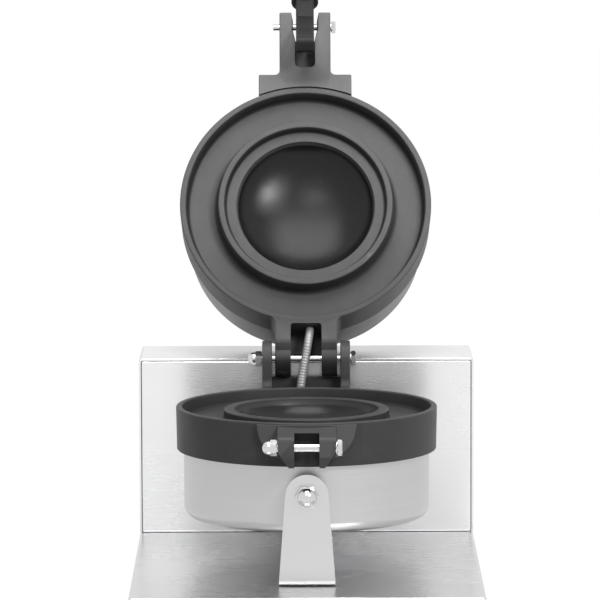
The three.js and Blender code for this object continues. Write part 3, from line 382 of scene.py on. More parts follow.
def turnedSteel(name, colour, roughness, place):  # fine rings about the piece's own axis
    material, tree, shader = newFinish(name, colour, rings["metal"], roughness)
    parts, away = fromAxis(tree, coordinates(tree, place))
    sources = ((away, rings["fine"]), (parts["Z"], rings["fine"]), (parts["X"], rings["wander"]))
    x, y, z = (reckoned(tree, "MULTIPLY", *pair) for pair in sources)
    lines = noise(tree, add(tree, "ShaderNodeCombineXYZ", X=x, Y=y, Z=z).outputs["Vector"], 1, 3)
    smudges = noise(tree, coordinates(tree), rings["smudges"], 3)
    gloss = spread(tree, smudges, roughness - 0.04, roughness + 0.05)
    painted(tree, shader, toned(tree, lines, colour, rings["tone"]), gloss)
    bumped(tree, shader, lines, rings["bump"], rings["depth"])
    return material


def near(tree, distance, middle, width):  # 1 at this distance, fading out on both sides
    offset = reckoned(tree, "ABSOLUTE", reckoned(tree, "SUBTRACT", distance, middle))
    return spread(tree, offset, 1, 0, width * 0.25, width)


def castCoating(name, place, settings):  # sprayed non-stick on cast aluminium, darker in the bowl
    s = settings
    material, tree, shader = newFinish(name, s["colour"], 0, s["roughness"], **{"Specular IOR Level": s["specular"]})
    here = coordinates(tree, place)
    grain = noise(tree, here, s["grain"], 3, 0.6)
    cloud = noise(tree, here, s["cloud"], 4)
    parts, away = fromAxis(tree, here)
    inBowl = spread(tree, away, 1, 0, *s["bowlEdge"])
    shade = mixed(tree, inBowl, toned(tree, cloud, s["colour"], 0.1, 0.35, 0.65), (*s["bowlColour"], 1))
    specks = mixed(tree, spread(tree, grain, 0, 1, 0.35, 0.7), (*s["speckColour"], 1), (1, 1, 1, 1))
    shade = mixed(tree, s["specks"], shade, specks, way="MULTIPLY")
    edges = add(tree, "ShaderNodeNewGeometry").outputs["Pointiness"]
    wornAndHighlit = spread(tree, edges, 0, 0.55, 0.51, 0.56)  # the coating is thinner and paler along the edges; the paler edges also stand as painted highlights on the rounded rims
    shade = mixed(tree, wornAndHighlit, shade, (*s["edgeWearAndHighlightColour"], 1))
    shadeZones = [(away, *groove) for groove in s["grooveShade"]] + [(parts["Y"], *root) for root in s["hingeSideShade"]]
    for distance, middle, width, share in shadeZones:  # painted shade: the grooves between the rings and the hinge side are darkened where shade falls
        shadeAmount = reckoned(tree, "MULTIPLY", near(tree, distance, middle, width), share)
        shade = mixed(tree, shadeAmount, shade, (*s["paintedShadeColour"], 1))
    dull = spread(tree, cloud, s["roughness"] - 0.05, s["roughness"] + 0.05)
    glossy = spread(tree, cloud, s["bowlRoughness"] - 0.04, s["bowlRoughness"] + 0.05)
    painted(tree, shader, shade, mixed(tree, inBowl, dull, glossy, "FLOAT"))
    bumped(tree, shader, cloud, 0.15, 0.0006, bumped(tree, shader, grain, 0.22, 0.0003))
    return material


def grained(name, colour, metallic, roughness, scale, strength, coat=0, specular=0.5):
    more = {"Specular IOR Level": specular, "Coat Weight": coat, "Coat Roughness": 0.12}
    material, tree, shader = newFinish(name, colour, metallic, roughness, **more)
    here = coordinates(tree)
    grain = noise(tree, here, scale, 3, 0.6)
    cloud = noise(tree, here, 30, 3)
    painted(tree, shader, toned(tree, cloud, colour, 0.08), spread(tree, grain, roughness - 0.04, roughness + 0.04))
    bumped(tree, shader, grain, strength, 0.0002)
    return material


def spiralSheath(name, colour, groove, roughness):  # rings follow the tube through its own attribute
    material, tree, shader = newFinish(name, colour, 0.35, roughness)
    wave = reckoned(tree, "SINE", add(tree, "ShaderNodeAttribute", attribute_name="along").outputs["Fac"])
    # painted shade: the darker band on each ring stands for the shade in the sheath's grooves
    shade = mixed(tree, spread(tree, wave, 0, 1, -0.9, 0.2), (*groove, 1), (*colour, 1))
    smudges = noise(tree, coordinates(tree), 60, 3)
    painted(tree, shader, shade, spread(tree, smudges, roughness - 0.06, roughness + 0.08))
    bumped(tree, shader, noise(tree, coordinates(tree), 1400, 2), 0.08, 0.0001)
    return material


castSettings = {  # a painted-shade zone is its middle, its width and its share of the painted shade colour
    "colour": (0.112, 0.112, 0.114), "roughness": 0.5, "specular": 0.22, "edgeWearAndHighlightColour": (0.22, 0.22, 0.22),
    "bowlColour": (0.012, 0.012, 0.013), "bowlRoughness": 0.235, "bowlEdge": (0.0502, 0.0512),
    "grain": 1500, "cloud": 45, "specks": 0.35, "speckColour": (0.72, 0.72, 0.72), "paintedShadeColour": (0.012, 0.012, 0.012),
    "grooveShade": [(0.0597, 0.0016, 0.85), (0.0672, 0.0024, 0.8), (0.0880, 0.0024, 0.8)],
    "hingeSideShade": [(0.127, 0.015, 0.88), (0.118, 0.1, 0.38)],
}
# painted shade: the lower casting has the lid's coating, painted darker throughout as a shaded copy for the lower light
# on its upright wall
shadedLowerCastSettings = {
    **castSettings, "colour": (0.05, 0.05, 0.051), "edgeWearAndHighlightColour": (0.14, 0.14, 0.14),
    "grooveShade": [(0.0605, 0.0016, 0.6), (0.0880, 0.0022, 0.6)], "hingeSideShade": [],
}
alongX, alongZ = (1, 0, 0), (0, 0, 1)
lidFrame = Matrix.LocRotScale(lidPlace.to_translation(), openTurn.to_quaternion(), None)
lowerFrame = Matrix.Translation(lowerPlace.to_translation())
finish = {
    "deck": brushedSteel("deckSteel", (0.72, 0.72, 0.725), 0.27, alongX, 0.3),
    "panel": brushedSteel("panelSteel", (0.78, 0.78, 0.785), 0.27, alongX, 0.85),
    "bracket": brushedSteel("bracketSteel", (0.64, 0.64, 0.645), 0.32, alongZ, 0.4),
    # painted shade: the lid casing is the same turned steel as the lower casing, painted much darker for the shade
    # under the open lid
    "lidCasing": turnedSteel("lidCasingShadedSteel", (0.18, 0.18, 0.184), 0.4, lidFrame),
    "lowerCasing": turnedSteel("lowerCasingSteel", (0.55, 0.55, 0.555), 0.36, lowerFrame),
    "lidCast": castCoating("lidCoating", lidFrame, castSettings),
    "lowerCast": castCoating("lowerCoatingShadedCopy", lowerFrame, shadedLowerCastSettings),
    "chrome": grained("polishedChrome", (0.62, 0.62, 0.63), 1, 0.2, 300, 0.03),
    "zinc": grained("zincPlate", (0.5, 0.51, 0.53), 1, 0.36, 500, 0.08),
    "lacquer": grained("blackLacquer", (0.014, 0.014, 0.015), 0, 0.42, 900, 0.12, 0, 0.2),
    "bakelite": grained("mouldedHandle", (0.014, 0.014, 0.015), 0, 0.28, 700, 0.04, 0.1, 0.4),
    "rubber": grained("footRubber", (0.018, 0.018, 0.019), 0, 0.75, 1100, 0.2),
    "plastic": grained("knobPlastic", (0.018, 0.018, 0.019), 0, 0.42, 1200, 0.12),
    "mark": grained("whiteMark", (0.75, 0.75, 0.73), 0, 0.5, 900, 0.05),
    "porcelain": grained("terminalPlastic", (0.7, 0.69, 0.64), 0, 0.45, 800, 0.06),
    "heater": grained("annealedSheath", (0.14, 0.145, 0.14), 1, 0.5, 700, 0.15),
    "sheath": spiralSheath("leadSheath", (0.42, 0.42, 0.43), (0.34, 0.34, 0.35), 0.45),
    "redLens": grained("redLens", (0.42, 0.012, 0.014), 0, 0.16, 250, 0.02, 0.6),
    "greenLens": grained("greenLens", (0.012, 0.24, 0.06), 0, 0.16, 250, 0.02, 0.6),
}
print("finishes made:", len(finish))


# Camera, at the photograph's place
view = {"x": -4.41, "y": -3644.6, "z": 694.3, "pitch": 6.895, "roll": 0.19, "lens": 306.5, "sensor": 36, "reach": 100}
cameraData = bpy.data.cameras.new("photoCamera")
cameraData.lens = view["lens"]
cameraData.sensor_width = view["sensor"]
cameraData.clip_end = view["reach"]
camera = linked("photoCamera", cameraData)
tilt = about("X", 90 - view["pitch"])
lean = about("Z", -view["roll"])
cameraSpot = machine @ Vector((view["x"], view["y"], view["z"]))
camera.matrix_world = Matrix.Translation(cameraSpot) @ tilt @ lean
bpy.context.scene.camera = camera


# Castings
casting = {
    "rimWidth": 4.5, "soft": 1.2, "floor": 6.2, "ring": 59.4, "bowl": 51.7, "bowlWall": 5,
    "lipOut": 65.2, "lipIn": 60.9, "lip": 1.9, "hollow": 3, "boss": 9, "bossRise": 1.6,
}
castingSides = {
    "lid": {"recess": 12, "drop": 4.6, "bowlDepth": 19.2, "lipped": True},
    "lower": {"recess": 10, "drop": 2.3, "bowlDepth": 22, "lipped": False},
}


def castingOutline(side):  # radius, and depth from the rim plane
    radius, wall, skirt = common["plateRadius"], common["plateWall"], common["plateRadius"] - common["skirt"]
    rimWidth, soft, floor, ring, bowlRadius, bowlWall, lipOut, lipIn, lip, hollow, boss, bossRise = casting.values()
    recess, drop, bowlDepth, lipped = castingSides[side].values()
    back, deep, shellRadius = recess + floor, drop + bowlDepth + bowlWall, ring - bowlWall / 2
    bowl = arc(0, drop, bowlRadius, 90, 0, 26, bowlDepth / bowlRadius)[:-1]
    shell = arc(0, back, shellRadius, 0, 80, 12, (deep - back) / shellRadius)
    edge = [(ring, drop, 1.5), (lipIn, -lip, 1.1), (lipOut, -lip, 1.1)] if lipped else [(ring, drop, soft)]
    foot = (lipOut if lipped else ring) + soft / 3
    return [
        *bowl, (bowlRadius, drop, 0.7), *edge, (foot, recess, hollow), (radius - rimWidth - soft, recess, hollow),
        (radius - rimWidth, 0, soft), (radius, 0, soft), (radius - soft / 2, wall, soft / 2), (skirt, wall, soft / 2),
        (skirt, back, hollow), *shell[1:], (boss, deep, 0.4), (boss, deep + bossRise, 0.4), (0, deep + bossRise),
    ]


hingeParts = {
    "armInner": 11.5, "armOuter": 23, "armEnd": 13, "armRoot": 80, "armFace": 0.1, "armBack": 29.8, "armBackEnd": 97,
    "flankHalf": 36, "flankEnd": 86.8, "armStart": 91.2, "armSoft": 0.9, "backWebAndShadeSheet": (24.6, 29.2), "backWebEnd": 111.5,
    "seam": 1.2, "seamDeep": 2.6, "leadBore": 3.7, "leadBoreDepth": 11, "leadX": 3,
    "earInner": 25.4, "earOuter": 32.6, "earEnd": 13.4, "earRoot": -23, "earStart": 86, "earRound": 0.9,
    "webBack": 123.6, "webFront": 116.6, "webTop": 4.1, "webLow": -15.9,
}
latchParts = {
    "lugHalf": 35, "lugReach": 11, "lugTop": 24, "neckHalf": 19.3, "neckTop": 20.5, "neckTip": 63, "face": 0.5,
    "slotHalf": 9, "pocketHalf": 7.3, "pocket": 18, "slot": 44.1, "slotFlare": 2.2,
    "draft": [(-3, 1.3), (0.3, 1.3), (1, 0.75), (2, 0.3), (3.6, 0), (8.5, -0.8), (11, -2.6), (13, -6), (14, -10)],
    "pinY": -108.1, "pinDrop": -15.1, "earReach": 8, "earInner": 8.8, "earOuter": 20.5, "earFoot": -30.4,
    "earNarrow": 3.4, "top": -1.2, "root": -88, "padHalf": 35, "padDrop": 27.5, "padThick": 3.6,
}


def latchSlot():  # slot and pocket with the draft of the cast faces
    p = latchParts
    tip, pocketTop, slotTop = (-(common["plateRadius"] + p[key]) for key in ("neckTip", "pocket", "slot"))
    flare = p["slotHalf"] + p["slotFlare"]
    slotHalf, pocketHalf, levels = p["slotHalf"], p["pocketHalf"], p["draft"]
    mouth = [(flare, tip - 4), (slotHalf, tip + 7, 6)]
    bm = bmesh.new()
    outlineFace(bm, bothSides([*mouth, (slotHalf, slotTop - 4, 9), (pocketHalf, slotTop + 4, 9),
                               (pocketHalf, pocketTop, 3.5)]), "xy")
    face = bm.faces[:]
    shifted(bm, (0, 0, levels[0][0]))
    for number, (height, grow) in enumerate(levels):
        if number:
            grown = bmesh.ops.extrude_face_region(bm, geom=face)
            if number > 1:
                bmesh.ops.delete(bm, geom=face, context="FACES_ONLY")
            face, top = newOnes(grown, bmesh.types.BMFace), newOnes(grown)
            bmesh.ops.translate(bm, verts=top, vec=(0, 0, height - levels[number - 1][0]))
        else:
            top = bm.verts[:]
        last = levels[number - 1][1] if number else 0
        for vert in top:  # the mouth widens and the floor rises in a quarter round
            side = 0 if vert.co.y < tip else max(-1, min(1, vert.co.x / 6))
            if vert.co.y > slotTop:
                side *= 0.3
            if grow >= 0:
                vert.co.x += side * (grow - last)
            if vert.co.y > slotTop + 6:
                vert.co.y += grow - last
    through = pushed(bothSides([*mouth, (slotHalf, slotTop, 3)]), "xy", 1, p["lugTop"] + 3)
    return [tidied(bm), through]


def lidCasting():
    h, p = hingeParts, latchParts
    radius = common["plateRadius"]
    hingeY, rise = common["hingeY"], common["hingeRise"] - common["lidGap"]
    root, back, inner, outer, seamRadius = h["armRoot"], h["armBack"], h["armInner"], h["armOuter"], radius + h["seam"]
    inRim = rod(radius - 2.5, -5, 40, sides=144)
    armSide = [(root, h["armFace"]), (hingeY - 8, h["armFace"], 6), *arc(hingeY, rise, h["armEnd"], -100, 90, 20),
               (h["armBackEnd"], back, 5), (root, back)]
    armPlan = bothSides([(h["flankHalf"], root), (h["flankHalf"], h["flankEnd"]), (outer, h["armStart"], 5.5),
                         (outer, 140)])
    arms = intersected(pushed(armSide, "yz", -40, 40), pushed(armPlan, "xy", -5, 40))
    arms = softened(arms, h["armSoft"], 3, 50)
    fork = pushed([(-inner, seamRadius, 2.4), (inner, seamRadius, 2.4), (inner, 145), (-inner, 145)], "xy", -5, 40)
    front, tip = -(radius + p["lugReach"]), -(radius + p["neckTip"])
    lugFace = bothSides([(p["lugHalf"], -80), (p["lugHalf"], front, 1), (p["neckHalf"], front, 3.6),
                         (p["neckHalf"], front - 12)])
    lug = pushed(lugFace, "xy", p["face"], p["lugTop"], 0.8)
    neckSide = [(front + 4, p["face"]), (tip, p["face"], 3), (tip, p["neckTop"], 9), (front + 4, p["neckTop"])]
    neck = pushed(neckSide, "yz", -p["neckHalf"], p["neckHalf"], 0.9)
    boreTurn = about("X", 45)
    slopedBore = at(Matrix.Identity(4), h["leadX"], seamRadius, h["leadBoreDepth"], boreTurn)
    leadBore = moved(rod(h["leadBore"], -12.5, 12.5), slopedBore)
    seam = turned([(radius - 1, -2), (seamRadius, -2), (seamRadius, h["seamDeep"], 0.5),
                   (radius - 1, h["seamDeep"])], 144)
    outside = combined(arms, [combined(lug, (), [seam]), neck], [inRim, fork, *latchSlot(), leadBore])
    # a web joining the arms at the back, which also serves as a dark sheet standing for the shade in the window between
    # the arms
    backWebAndShadeSheet = slab(-inner - 1, inner + 1, radius - 1.5, h["backWebEnd"], *h["backWebAndShadeSheet"], 0.8)
    body = combined(turned(castingOutline("lid"), 144), [combined(outside, [backWebAndShadeSheet])])
    placed(body, "lid_casting", "lid", "lidCast", lidPlace, ["lid_plate"], 32)


def lowerCasting():
    h, p = hingeParts, latchParts
    radius, hingeY, rise = common["plateRadius"], common["hingeY"], common["hingeRise"]
    top, root, earFoot, earStart, ends = p["top"], p["root"], p["earFoot"], h["earStart"], p["earInner"] + 1
    shell = moved(turned(castingOutline("lower"), 144), Matrix.Scale(-1, 4, (0, 0, 1)))
    earSide = [(earStart, h["earRoot"]), (hingeY + 3, h["earRoot"], 6), *arc(hingeY, rise, h["earEnd"], 0, 180, 24),
               (hingeY - h["earEnd"], top, 6), (earStart, top)]
    ears = [pushed(earSide, "yz", side * h["earInner"], side * h["earOuter"], h["earRound"]) for side in (-1, 1)]
    web = slab(-h["earInner"] - 1, h["earInner"] + 1, h["webFront"], h["webBack"], h["webLow"], h["webTop"], 0.7)
    front = p["pinY"] - p["earReach"]
    ledge = -common["plateWall"] + 1.2
    earFace = [(root, top), (-radius, top), (front, -7.6, 3), (front, -23, 6), (front + 8, ledge, 4), (root, ledge)]
    latchEars = []
    for side in (-1, 1):  # seen from the front, each ear draws in towards its foot
        inner, outer = side * p["earInner"], side * p["earOuter"]
        narrow = inner + side * p["earNarrow"]
        shape = [(inner, 2), (outer, 2), (outer, -17, 9), (narrow, earFoot, 2), (inner, earFoot, 1)]
        ear = intersected(pushed(earFace, "yz", -25, 25), pushed(shape, "xz", -125, -80))
        latchEars.append(softened(ear, 0.8, 3, 50))
    bridge = pushed([(root, top), (-radius, top), (-radius - 13, -5), (root, -5)], "yz", -ends, ends, 0.5)
    half, thick = p["padHalf"], radius + p["padThick"]
    padRound = arc(0, -2, half, 180, 360, 36, p["padDrop"] / half)
    pad = pushed([(-half, top), *padRound, (half, top)], "xz", -radius - 20, -80)
    drum = turned([(radius - 3, 2), (thick, 2, 1), (thick, -34, 1), (radius - 3, -34)], 144)
    body = combined(shell, [*ears, web, intersected(pad, drum), *latchEars, bridge])
    placed(body, "lower_casting", "base", "lowerCast", lowerPlace, ["lower_plate"], 32)


lidCasting()
lowerCasting()
print("castings made")


# Drawn casings that cover the heaters
casing = {"sheet": 1.2, "corner": 8.5, "bottomZ": 97.6, "topZ": 152.5, "lidStart": 25, "lidEnd": 79.9}


def cup(depth):
    radius, c = common["casingRadius"], casing
    return turned([
        (0, 0), (radius, 0, c["corner"]), (radius, depth, 0.5), (radius - c["sheet"], depth, 0.5),
        (radius - c["sheet"], c["sheet"], c["corner"] - c["sheet"]), (0, c["sheet"]),
    ], 144, 8)


placed(cup(casing["topZ"] - casing["bottomZ"]), "lower_shell", "base", "lowerCasing",
       at(machine, 0, 0, casing["bottomZ"]), ["lower_casing"])
placed(cup(casing["lidEnd"] - casing["lidStart"]), "lid_shell", "lid", "lidCasing",
       at(lidPlace, 0, 0, casing["lidEnd"], about("X", 180)), ["lid_casing"])
print("casings made")


# Fasteners stand on the origin and point along +Z
fastener = {
    "m5": {"thread": 5, "flats": 8, "head": 3.6},
    "m6": {"thread": 6, "flats": 10, "head": 4, "nut": 5, "cap": 10.6},
    "m8": {"flats": 13, "nut": 6.6, "cap": 14.5},
    "bracket": {"flats": 14.6, "nut": 5, "cap": 11.5},
}
toBack, toFront, toLeft = about("X", -90), about("X", 90), about("Y", -90)


def hexagon(flats, low, high):  # the corners are chamfered by a cone, as on a real nut
    corner, slope, middle = flats / math.sqrt(3), flats * 0.5, (low + high) / 2
    body = rod(corner, low, high, sides=6)
    cone = turned([(0, low), (slope, low), (corner + 0.2, low + 0.9), (corner + 0.2, middle),
                   (corner + 0.2, high - 0.9), (slope, high), (0, high)], 48)
    return softened(intersected(body, cone), 0.12, 1)


def acorn(size):
    s = fastener[size]
    collar = s["flats"] / 2 * 0.97
    dome = turned([(0, s["nut"] - 0.6), (collar, s["nut"] - 0.6), (collar, s["cap"] - collar),
                   *arc(0, s["cap"] - collar, collar, 8, 82, 12), (0, s["cap"])], 48)
    return gathered(hexagon(s["flats"], 0, s["nut"]), dome)


def boltHead(size):
    s = fastener[size]
    washer = turned([(0, -0.6), (s["flats"] / 2 * 0.96, -0.6), (s["flats"] / 2 * 0.96, 0), (0, 0)], 48)
    return gathered(hexagon(s["flats"], -s["head"], -0.5), washer)


def bolt(size, length):
    s = fastener[size]
    end = turned([(0, -0.5), (s["thread"] / 2, -0.5), (s["thread"] / 2, length, 0.6), (0, length)], 40)
    return gathered(boltHead(size), end)


def chromed(bm, name, body, place, replaced):
    placed(bm, name, body, "chrome", place, replaced)


def crossBolt(name, nutName, half, y, z):  # from right to left through two ears, with its cap nut
    reach = half + gap
    chromed(bolt("m6", 2 * reach + fastener["m6"]["nut"]), name + "_pin", "base",
            at(machine, reach, y, z, toLeft), [name])
    chromed(acorn("m6"), nutName + "_dome", "base", at(machine, -reach, y, z, toLeft), [nutName])


rimZ = common["rimZ"]
crossBolt("hinge_bolt", "hinge_cap_nut", hingeParts["earOuter"], common["hingeY"], rimZ + common["hingeRise"])
crossBolt("latch_pin", "latch_cap_nut", latchParts["earOuter"], latchParts["pinY"], rimZ + latchParts["pinDrop"])
leverPin = {"y": -147.8, "z": 10, "tail": 5.3}
chromed(bolt("m5", 2 * latchParts["neckHalf"] + leverPin["tail"]), "lever_pin_bolt", "lid",
        at(lidPlace, latchParts["neckHalf"] + gap, leverPin["y"], leverPin["z"], toLeft), ["lever_pin"])
chromed(acorn("m8"), "lid_casing_dome", "lid", at(lidPlace, 0, 0, casing["lidEnd"] + gap), ["lid_casing_nut"])
print("fasteners made")


# Front bracket: a blank with a round head, pressed over at the foot
bracket = {
    "headHalf": 15.3, "footHalf": 19.8, "thick": 2.5, "boltZ": deck + 64.6, "faceY": -98.9, "bend": 3.2,
    "footLength": 34, "floorZ": deck + gap,
}


def bracketStrip():
    b = bracket
    middle, thick, half = b["bend"], b["thick"], b["footHalf"]
    foldZ = b["floorZ"] + thick / 2 + middle
    blankLow = foldZ - middle * math.pi / 2 - (b["footLength"] - middle - thick / 2)
    bm = bmesh.new()
    outlineFace(bm, [(-half, blankLow, 1.5), (half, blankLow, 1.5), (half, foldZ),
                     *arc(0, b["boltZ"], b["headHalf"], 3, 177, 40), (-half, foldZ)], "xz")
    for share in range(9):
        place = (0, 0, foldZ - share / 8 * middle * math.pi / 2)
        bmesh.ops.bisect_plane(bm, geom=bm.verts[:] + bm.edges[:] + bm.faces[:], plane_co=place, plane_no=(0, 0, 1))
    for vert in bm.verts:  # the press turns the foot back by a quarter
        down = foldZ - vert.co.z
        if down > 0:
            turn = min(down / middle, math.pi / 2)
            past = max(0, down - middle * math.pi / 2)
            vert.co.y = middle * (1 - math.cos(turn)) + past
            vert.co.z = foldZ - middle * math.sin(turn)
    for face in bm.faces:
        face.normal_update()
    bmesh.ops.recalc_face_normals(bm, faces=bm.faces[:])
    shifted(bm, (0, b["faceY"] + thick / 2, 0))
    piece = placed(bm, "bracket_strip", "base", "bracket", machine, ["front_bracket"], 30)
    wall = piece.modifiers.new("wall", "SOLIDIFY")
    wall.thickness = thick * 0.001
    wall.offset = 0
    soft = piece.modifiers.new("soft", "BEVEL")
    soft.width = 0.00035
    soft.segments = 2
    soft.limit_method = "ANGLE"
    soft.angle_limit = math.radians(50)
    piece.modifiers.move(0, 2)


bracketStrip()
chromed(acorn("bracket"), "bracket_dome", "base",
        at(machine, 0, bracket["faceY"] - gap, bracket["boltZ"], toFront), ["bracket_cap_nut"])
print("bracket made")


# Base and control box in folded sheet
controls = {
    "z": 38, "power": -82.5, "powerLamp": -50, "temperature": -10, "heatLamp": 30, "timer": 70,
    "switchHalf": 11.3, "switchHigh": 15.3, "spindleBore": 3.6, "lampBore": 5.3,
}
box = {"top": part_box("box_cover")[1].z * 1000, "fold": 2.6, "flange": 11, "conduitZ": deck + 58, "leadZ": deck + 84,
       "leadX": -4.5, "leadBore": 5.5, "conduitBore": 10.8}
baseFold = {"bottom": 12, "top": deck, "fold": 2.8}


def foldedTray():
    b, half = baseFold, common["baseHalf"]
    front, back, sheet = common["baseFrontY"], common["boxBackY"], common["sheet"]

    def shellOf(inset, low):
        bm = slab(-half + inset, half - inset, front + inset, back - inset, low, b["top"] - inset)
        folds = [edge for edge in bm.edges if max(vert.co.z for vert in edge.verts) > b["top"] - inset - 0.01]
        bevelled(bm, folds, "EDGES", b["fold"] - inset, 6)
        return tidied(bm)

    c = controls
    holes = [rod(bore, front - 5, front + 5, "xz", c[name], c["z"])
             for name, bore in (("temperature", c["spindleBore"]), ("timer", c["spindleBore"]),
                                ("powerLamp", c["lampBore"]), ("heatLamp", c["lampBore"]))]
    holes.append(slab(c["power"] - c["switchHalf"], c["power"] + c["switchHalf"], front - 5, front + 5,
                      c["z"] - c["switchHigh"], c["z"] + c["switchHigh"]))
    tray = combined(shellOf(0, b["bottom"]), (), [shellOf(sheet, b["bottom"] - 5), *holes])
    placed(tray, "base_shell", "base", "deck", machine, ["base_tray"], 30)


def foldedCover():
    half, top, fold, sheet = common["baseHalf"], box["top"], box["fold"], common["sheet"]
    front, back, low = common["boxFrontY"], common["boxBackY"], deck + gap
    outer = pushed([(-half, low), (half, low), (half, top, fold), (-half, top, fold)], "xz", front, back, 0.25, 8, 1)
    inner = pushed([(-half + sheet, low - 5), (half - sheet, low - 5), (half - sheet, top - sheet, fold - sheet),
                    (-half + sheet, top - sheet, fold - sheet)], "xz", front - 5, back + 5, 0, 8)
    placed(combined(outer, (), [inner]), "box_hood", "base", "panel", machine,
           ["box_cover"], 30)


def foldedFront():
    half, sheet = common["baseHalf"] - common["sheet"] - gap, common["sheet"]
    low, high, face = deck + gap, box["top"] - common["sheet"] - gap, common["boxFrontY"]
    outer = slab(-half, half, face, face + box["flange"], low, high, 1.1, 4)
    inner = slab(-half + sheet, half - sheet, face + sheet, face + box["flange"] + 5, low + sheet, high - sheet, 0.5)
    holes = [rod(box["conduitBore"], face - 5, face + 5, "xz", 0, box["conduitZ"]),
             rod(box["leadBore"], face - 5, face + 5, "xz", box["leadX"], box["leadZ"])]
    placed(combined(outer, (), [inner, *holes]), "box_face", "base", "panel",
           machine, ["box_front_panel"], 30)


foldedTray()
foldedCover()
foldedFront()
print("base and box made")


# Wire conduit, grommet and the sheathed lead to the lid
conduit = {"bore": 8, "radius": 10.5, "wide": 14, "start": 76.9, "stepUp": 88.7, "stepDown": 135.9, "end": 144.6}
grommet = {"bore": 3.5, "radius": 7, "waist": 5.2, "inside": -3, "stepDown": -0.3, "stepUp": 1.8, "outside": 3.3}


def conduitTube():
    bore, radius, wide, start, stepUp, stepDown, end = conduit.values()
    shape = turned([(bore, start), (radius, start), (radius, stepUp), (wide, stepUp, 0.8), (wide, stepDown, 0.8),
                    (radius, stepDown), (radius, end), (bore, end)], 64)
    placed(shape, "conduit_tube", "base", "zinc", at(machine, 0, 0, box["conduitZ"], toBack),
           ["wire_conduit"])


def leadBush():
    bore, radius, waist, inside, stepDown, stepUp, outside = grommet.values()
    shape = turned([(bore, inside, 0.6), (radius, inside, 1), (radius, stepDown), (waist, stepDown), (waist, stepUp),
                    (radius, stepUp), (radius, outside, 1), (bore, outside, 0.6)], 64)
    placed(shape, "lead_bush", "base", "rubber",
           at(machine, box["leadX"], common["boxFrontY"], box["leadZ"], toBack), ["lead_grommet"])


conduitTube()
leadBush()

lead = {
    "radius": 3.2, "sides": 16, "pitch": 2.1, "rings": 4, "groove": 0.3,
    "route": [(-4.5, 142.6, 146), (-4.5, 129.8, 146), (-4.7, 120.5, 147.5), (-4.9, 110.5, 153.5),
              (-4.9, 106.2, 164), (-4, 106.6, 176), (-2.2, 108.3, 188), (-0.2, 110.2, 199), (1.6, 112.8, 209)],
    "blendFrom": 3, "mouth": (3, 95.2, 11), "inside": (3, 92.94, 13.26),
}


def smoothRoute(points):  # a smooth curve through the points, as dense places
    curve = bpy.data.curves.new("route", "CURVE")
    curve.dimensions = "3D"
    curve.resolution_u = 24
    spline = curve.splines.new("BEZIER")
    spline.bezier_points.add(len(points) - 1)
    for point, place in zip(spline.bezier_points, points):
        point.co = place
        point.handle_left_type = point.handle_right_type = "AUTO"
    carrier = linked("route", curve)
    bpy.context.view_layer.update()
    mesh = bpy.data.meshes.new_from_object(carrier.evaluated_get(bpy.context.evaluated_depsgraph_get()))
    places = [vert.co.copy() for vert in mesh.vertices]
    bpy.data.objects.remove(carrier)
    bpy.data.curves.remove(curve)
    bpy.data.meshes.remove(mesh)
    return places


def evenly(places, step):
    lengths = [0]
    for before, after in zip(places, places[1:]):
        lengths.append(lengths[-1] + (after - before).length)
    count = round(lengths[-1] / step)
    spots, number = [], 0
    for k in range(count + 1):
        want = lengths[-1] * k / count
        while number < len(places) - 2 and lengths[number + 1] < want:
            number += 1
        share = (want - lengths[number]) / max(lengths[number + 1] - lengths[number], 1e-9)
        spots.append(places[number].lerp(places[number + 1], share))
    return spots, lengths[-1]


def leadTube():
    intoMachine = machine.inverted() @ lidPlace
    ends = [intoMachine @ Vector(lead["mouth"]), intoMachine @ Vector(lead["inside"])]
    spots, length = evenly(smoothRoute([Vector(p) for p in lead["route"]] + ends), lead["pitch"] / lead["rings"])
    bm = bmesh.new()
    along = bm.verts.layers.float.new("along")
    circle = bmesh.ops.create_circle(bm, cap_ends=True, segments=lead["sides"], radius=1)
    for vert in bm.verts:
        vert[along] = 0
    ring = circle["verts"]
    before = Matrix.Identity(4)
    side = Vector((1, 0, 0))
    for number, spot in enumerate(spots):
        ahead = spots[min(number + 1, len(spots) - 1)] - spots[max(number - 1, 0)]
        ahead.normalize()
        side = (side - ahead * side.dot(ahead)).normalized()
        other = ahead.cross(side)
        ridge = lead["radius"] - lead["groove"] * (0.5 - 0.5 * math.cos(2 * math.pi * number / lead["rings"]))
        here = Matrix((side * ridge, other * ridge, ahead)).transposed().to_4x4()
        here.translation = spot
        if number > 0:
            edges = {edge for vert in ring for edge in vert.link_edges if all(v in ring for v in edge.verts)}
            grown = bmesh.ops.extrude_edge_only(bm, edges=list(edges))
            ring = newOnes(grown)
        bmesh.ops.transform(bm, matrix=here @ before.inverted(), verts=ring)
        for vert in ring:
            vert[along] = 2 * math.pi * number / lead["rings"]
        before = here
    bmesh.ops.contextual_create(bm, geom=[edge for edge in bm.edges if edge.is_boundary])
    bmesh.ops.recalc_face_normals(bm, faces=bm.faces[:])
    piece = dressed(bm, "lead_tube", "sheath", machine, ["lid_lead"])
    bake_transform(piece)
    print("lead made, length in mm", round(length, 1))


leadTube()


# Latch lever with its hook, collar and handle; the lever's pin is at the origin and the handle runs along -Y
leverParts = {
    "half": 6.8, "boss": 8.5, "hookReach": 47.29, "hookAngle": -32.92, "throat": 3.3, "hookBack": 6.4, "lip": 4.8,
    "armHalf": 5.4, "bar": 23.5, "barHalf": 6, "pinBore": 2.8, "stud": 4, "studBore": 4.2, "studEnd": 6.6,
    "collar": 10.3, "collarLength": 5, "grip": 112, "gripRadius": 13.5, "gripNeck": 10.4,
}


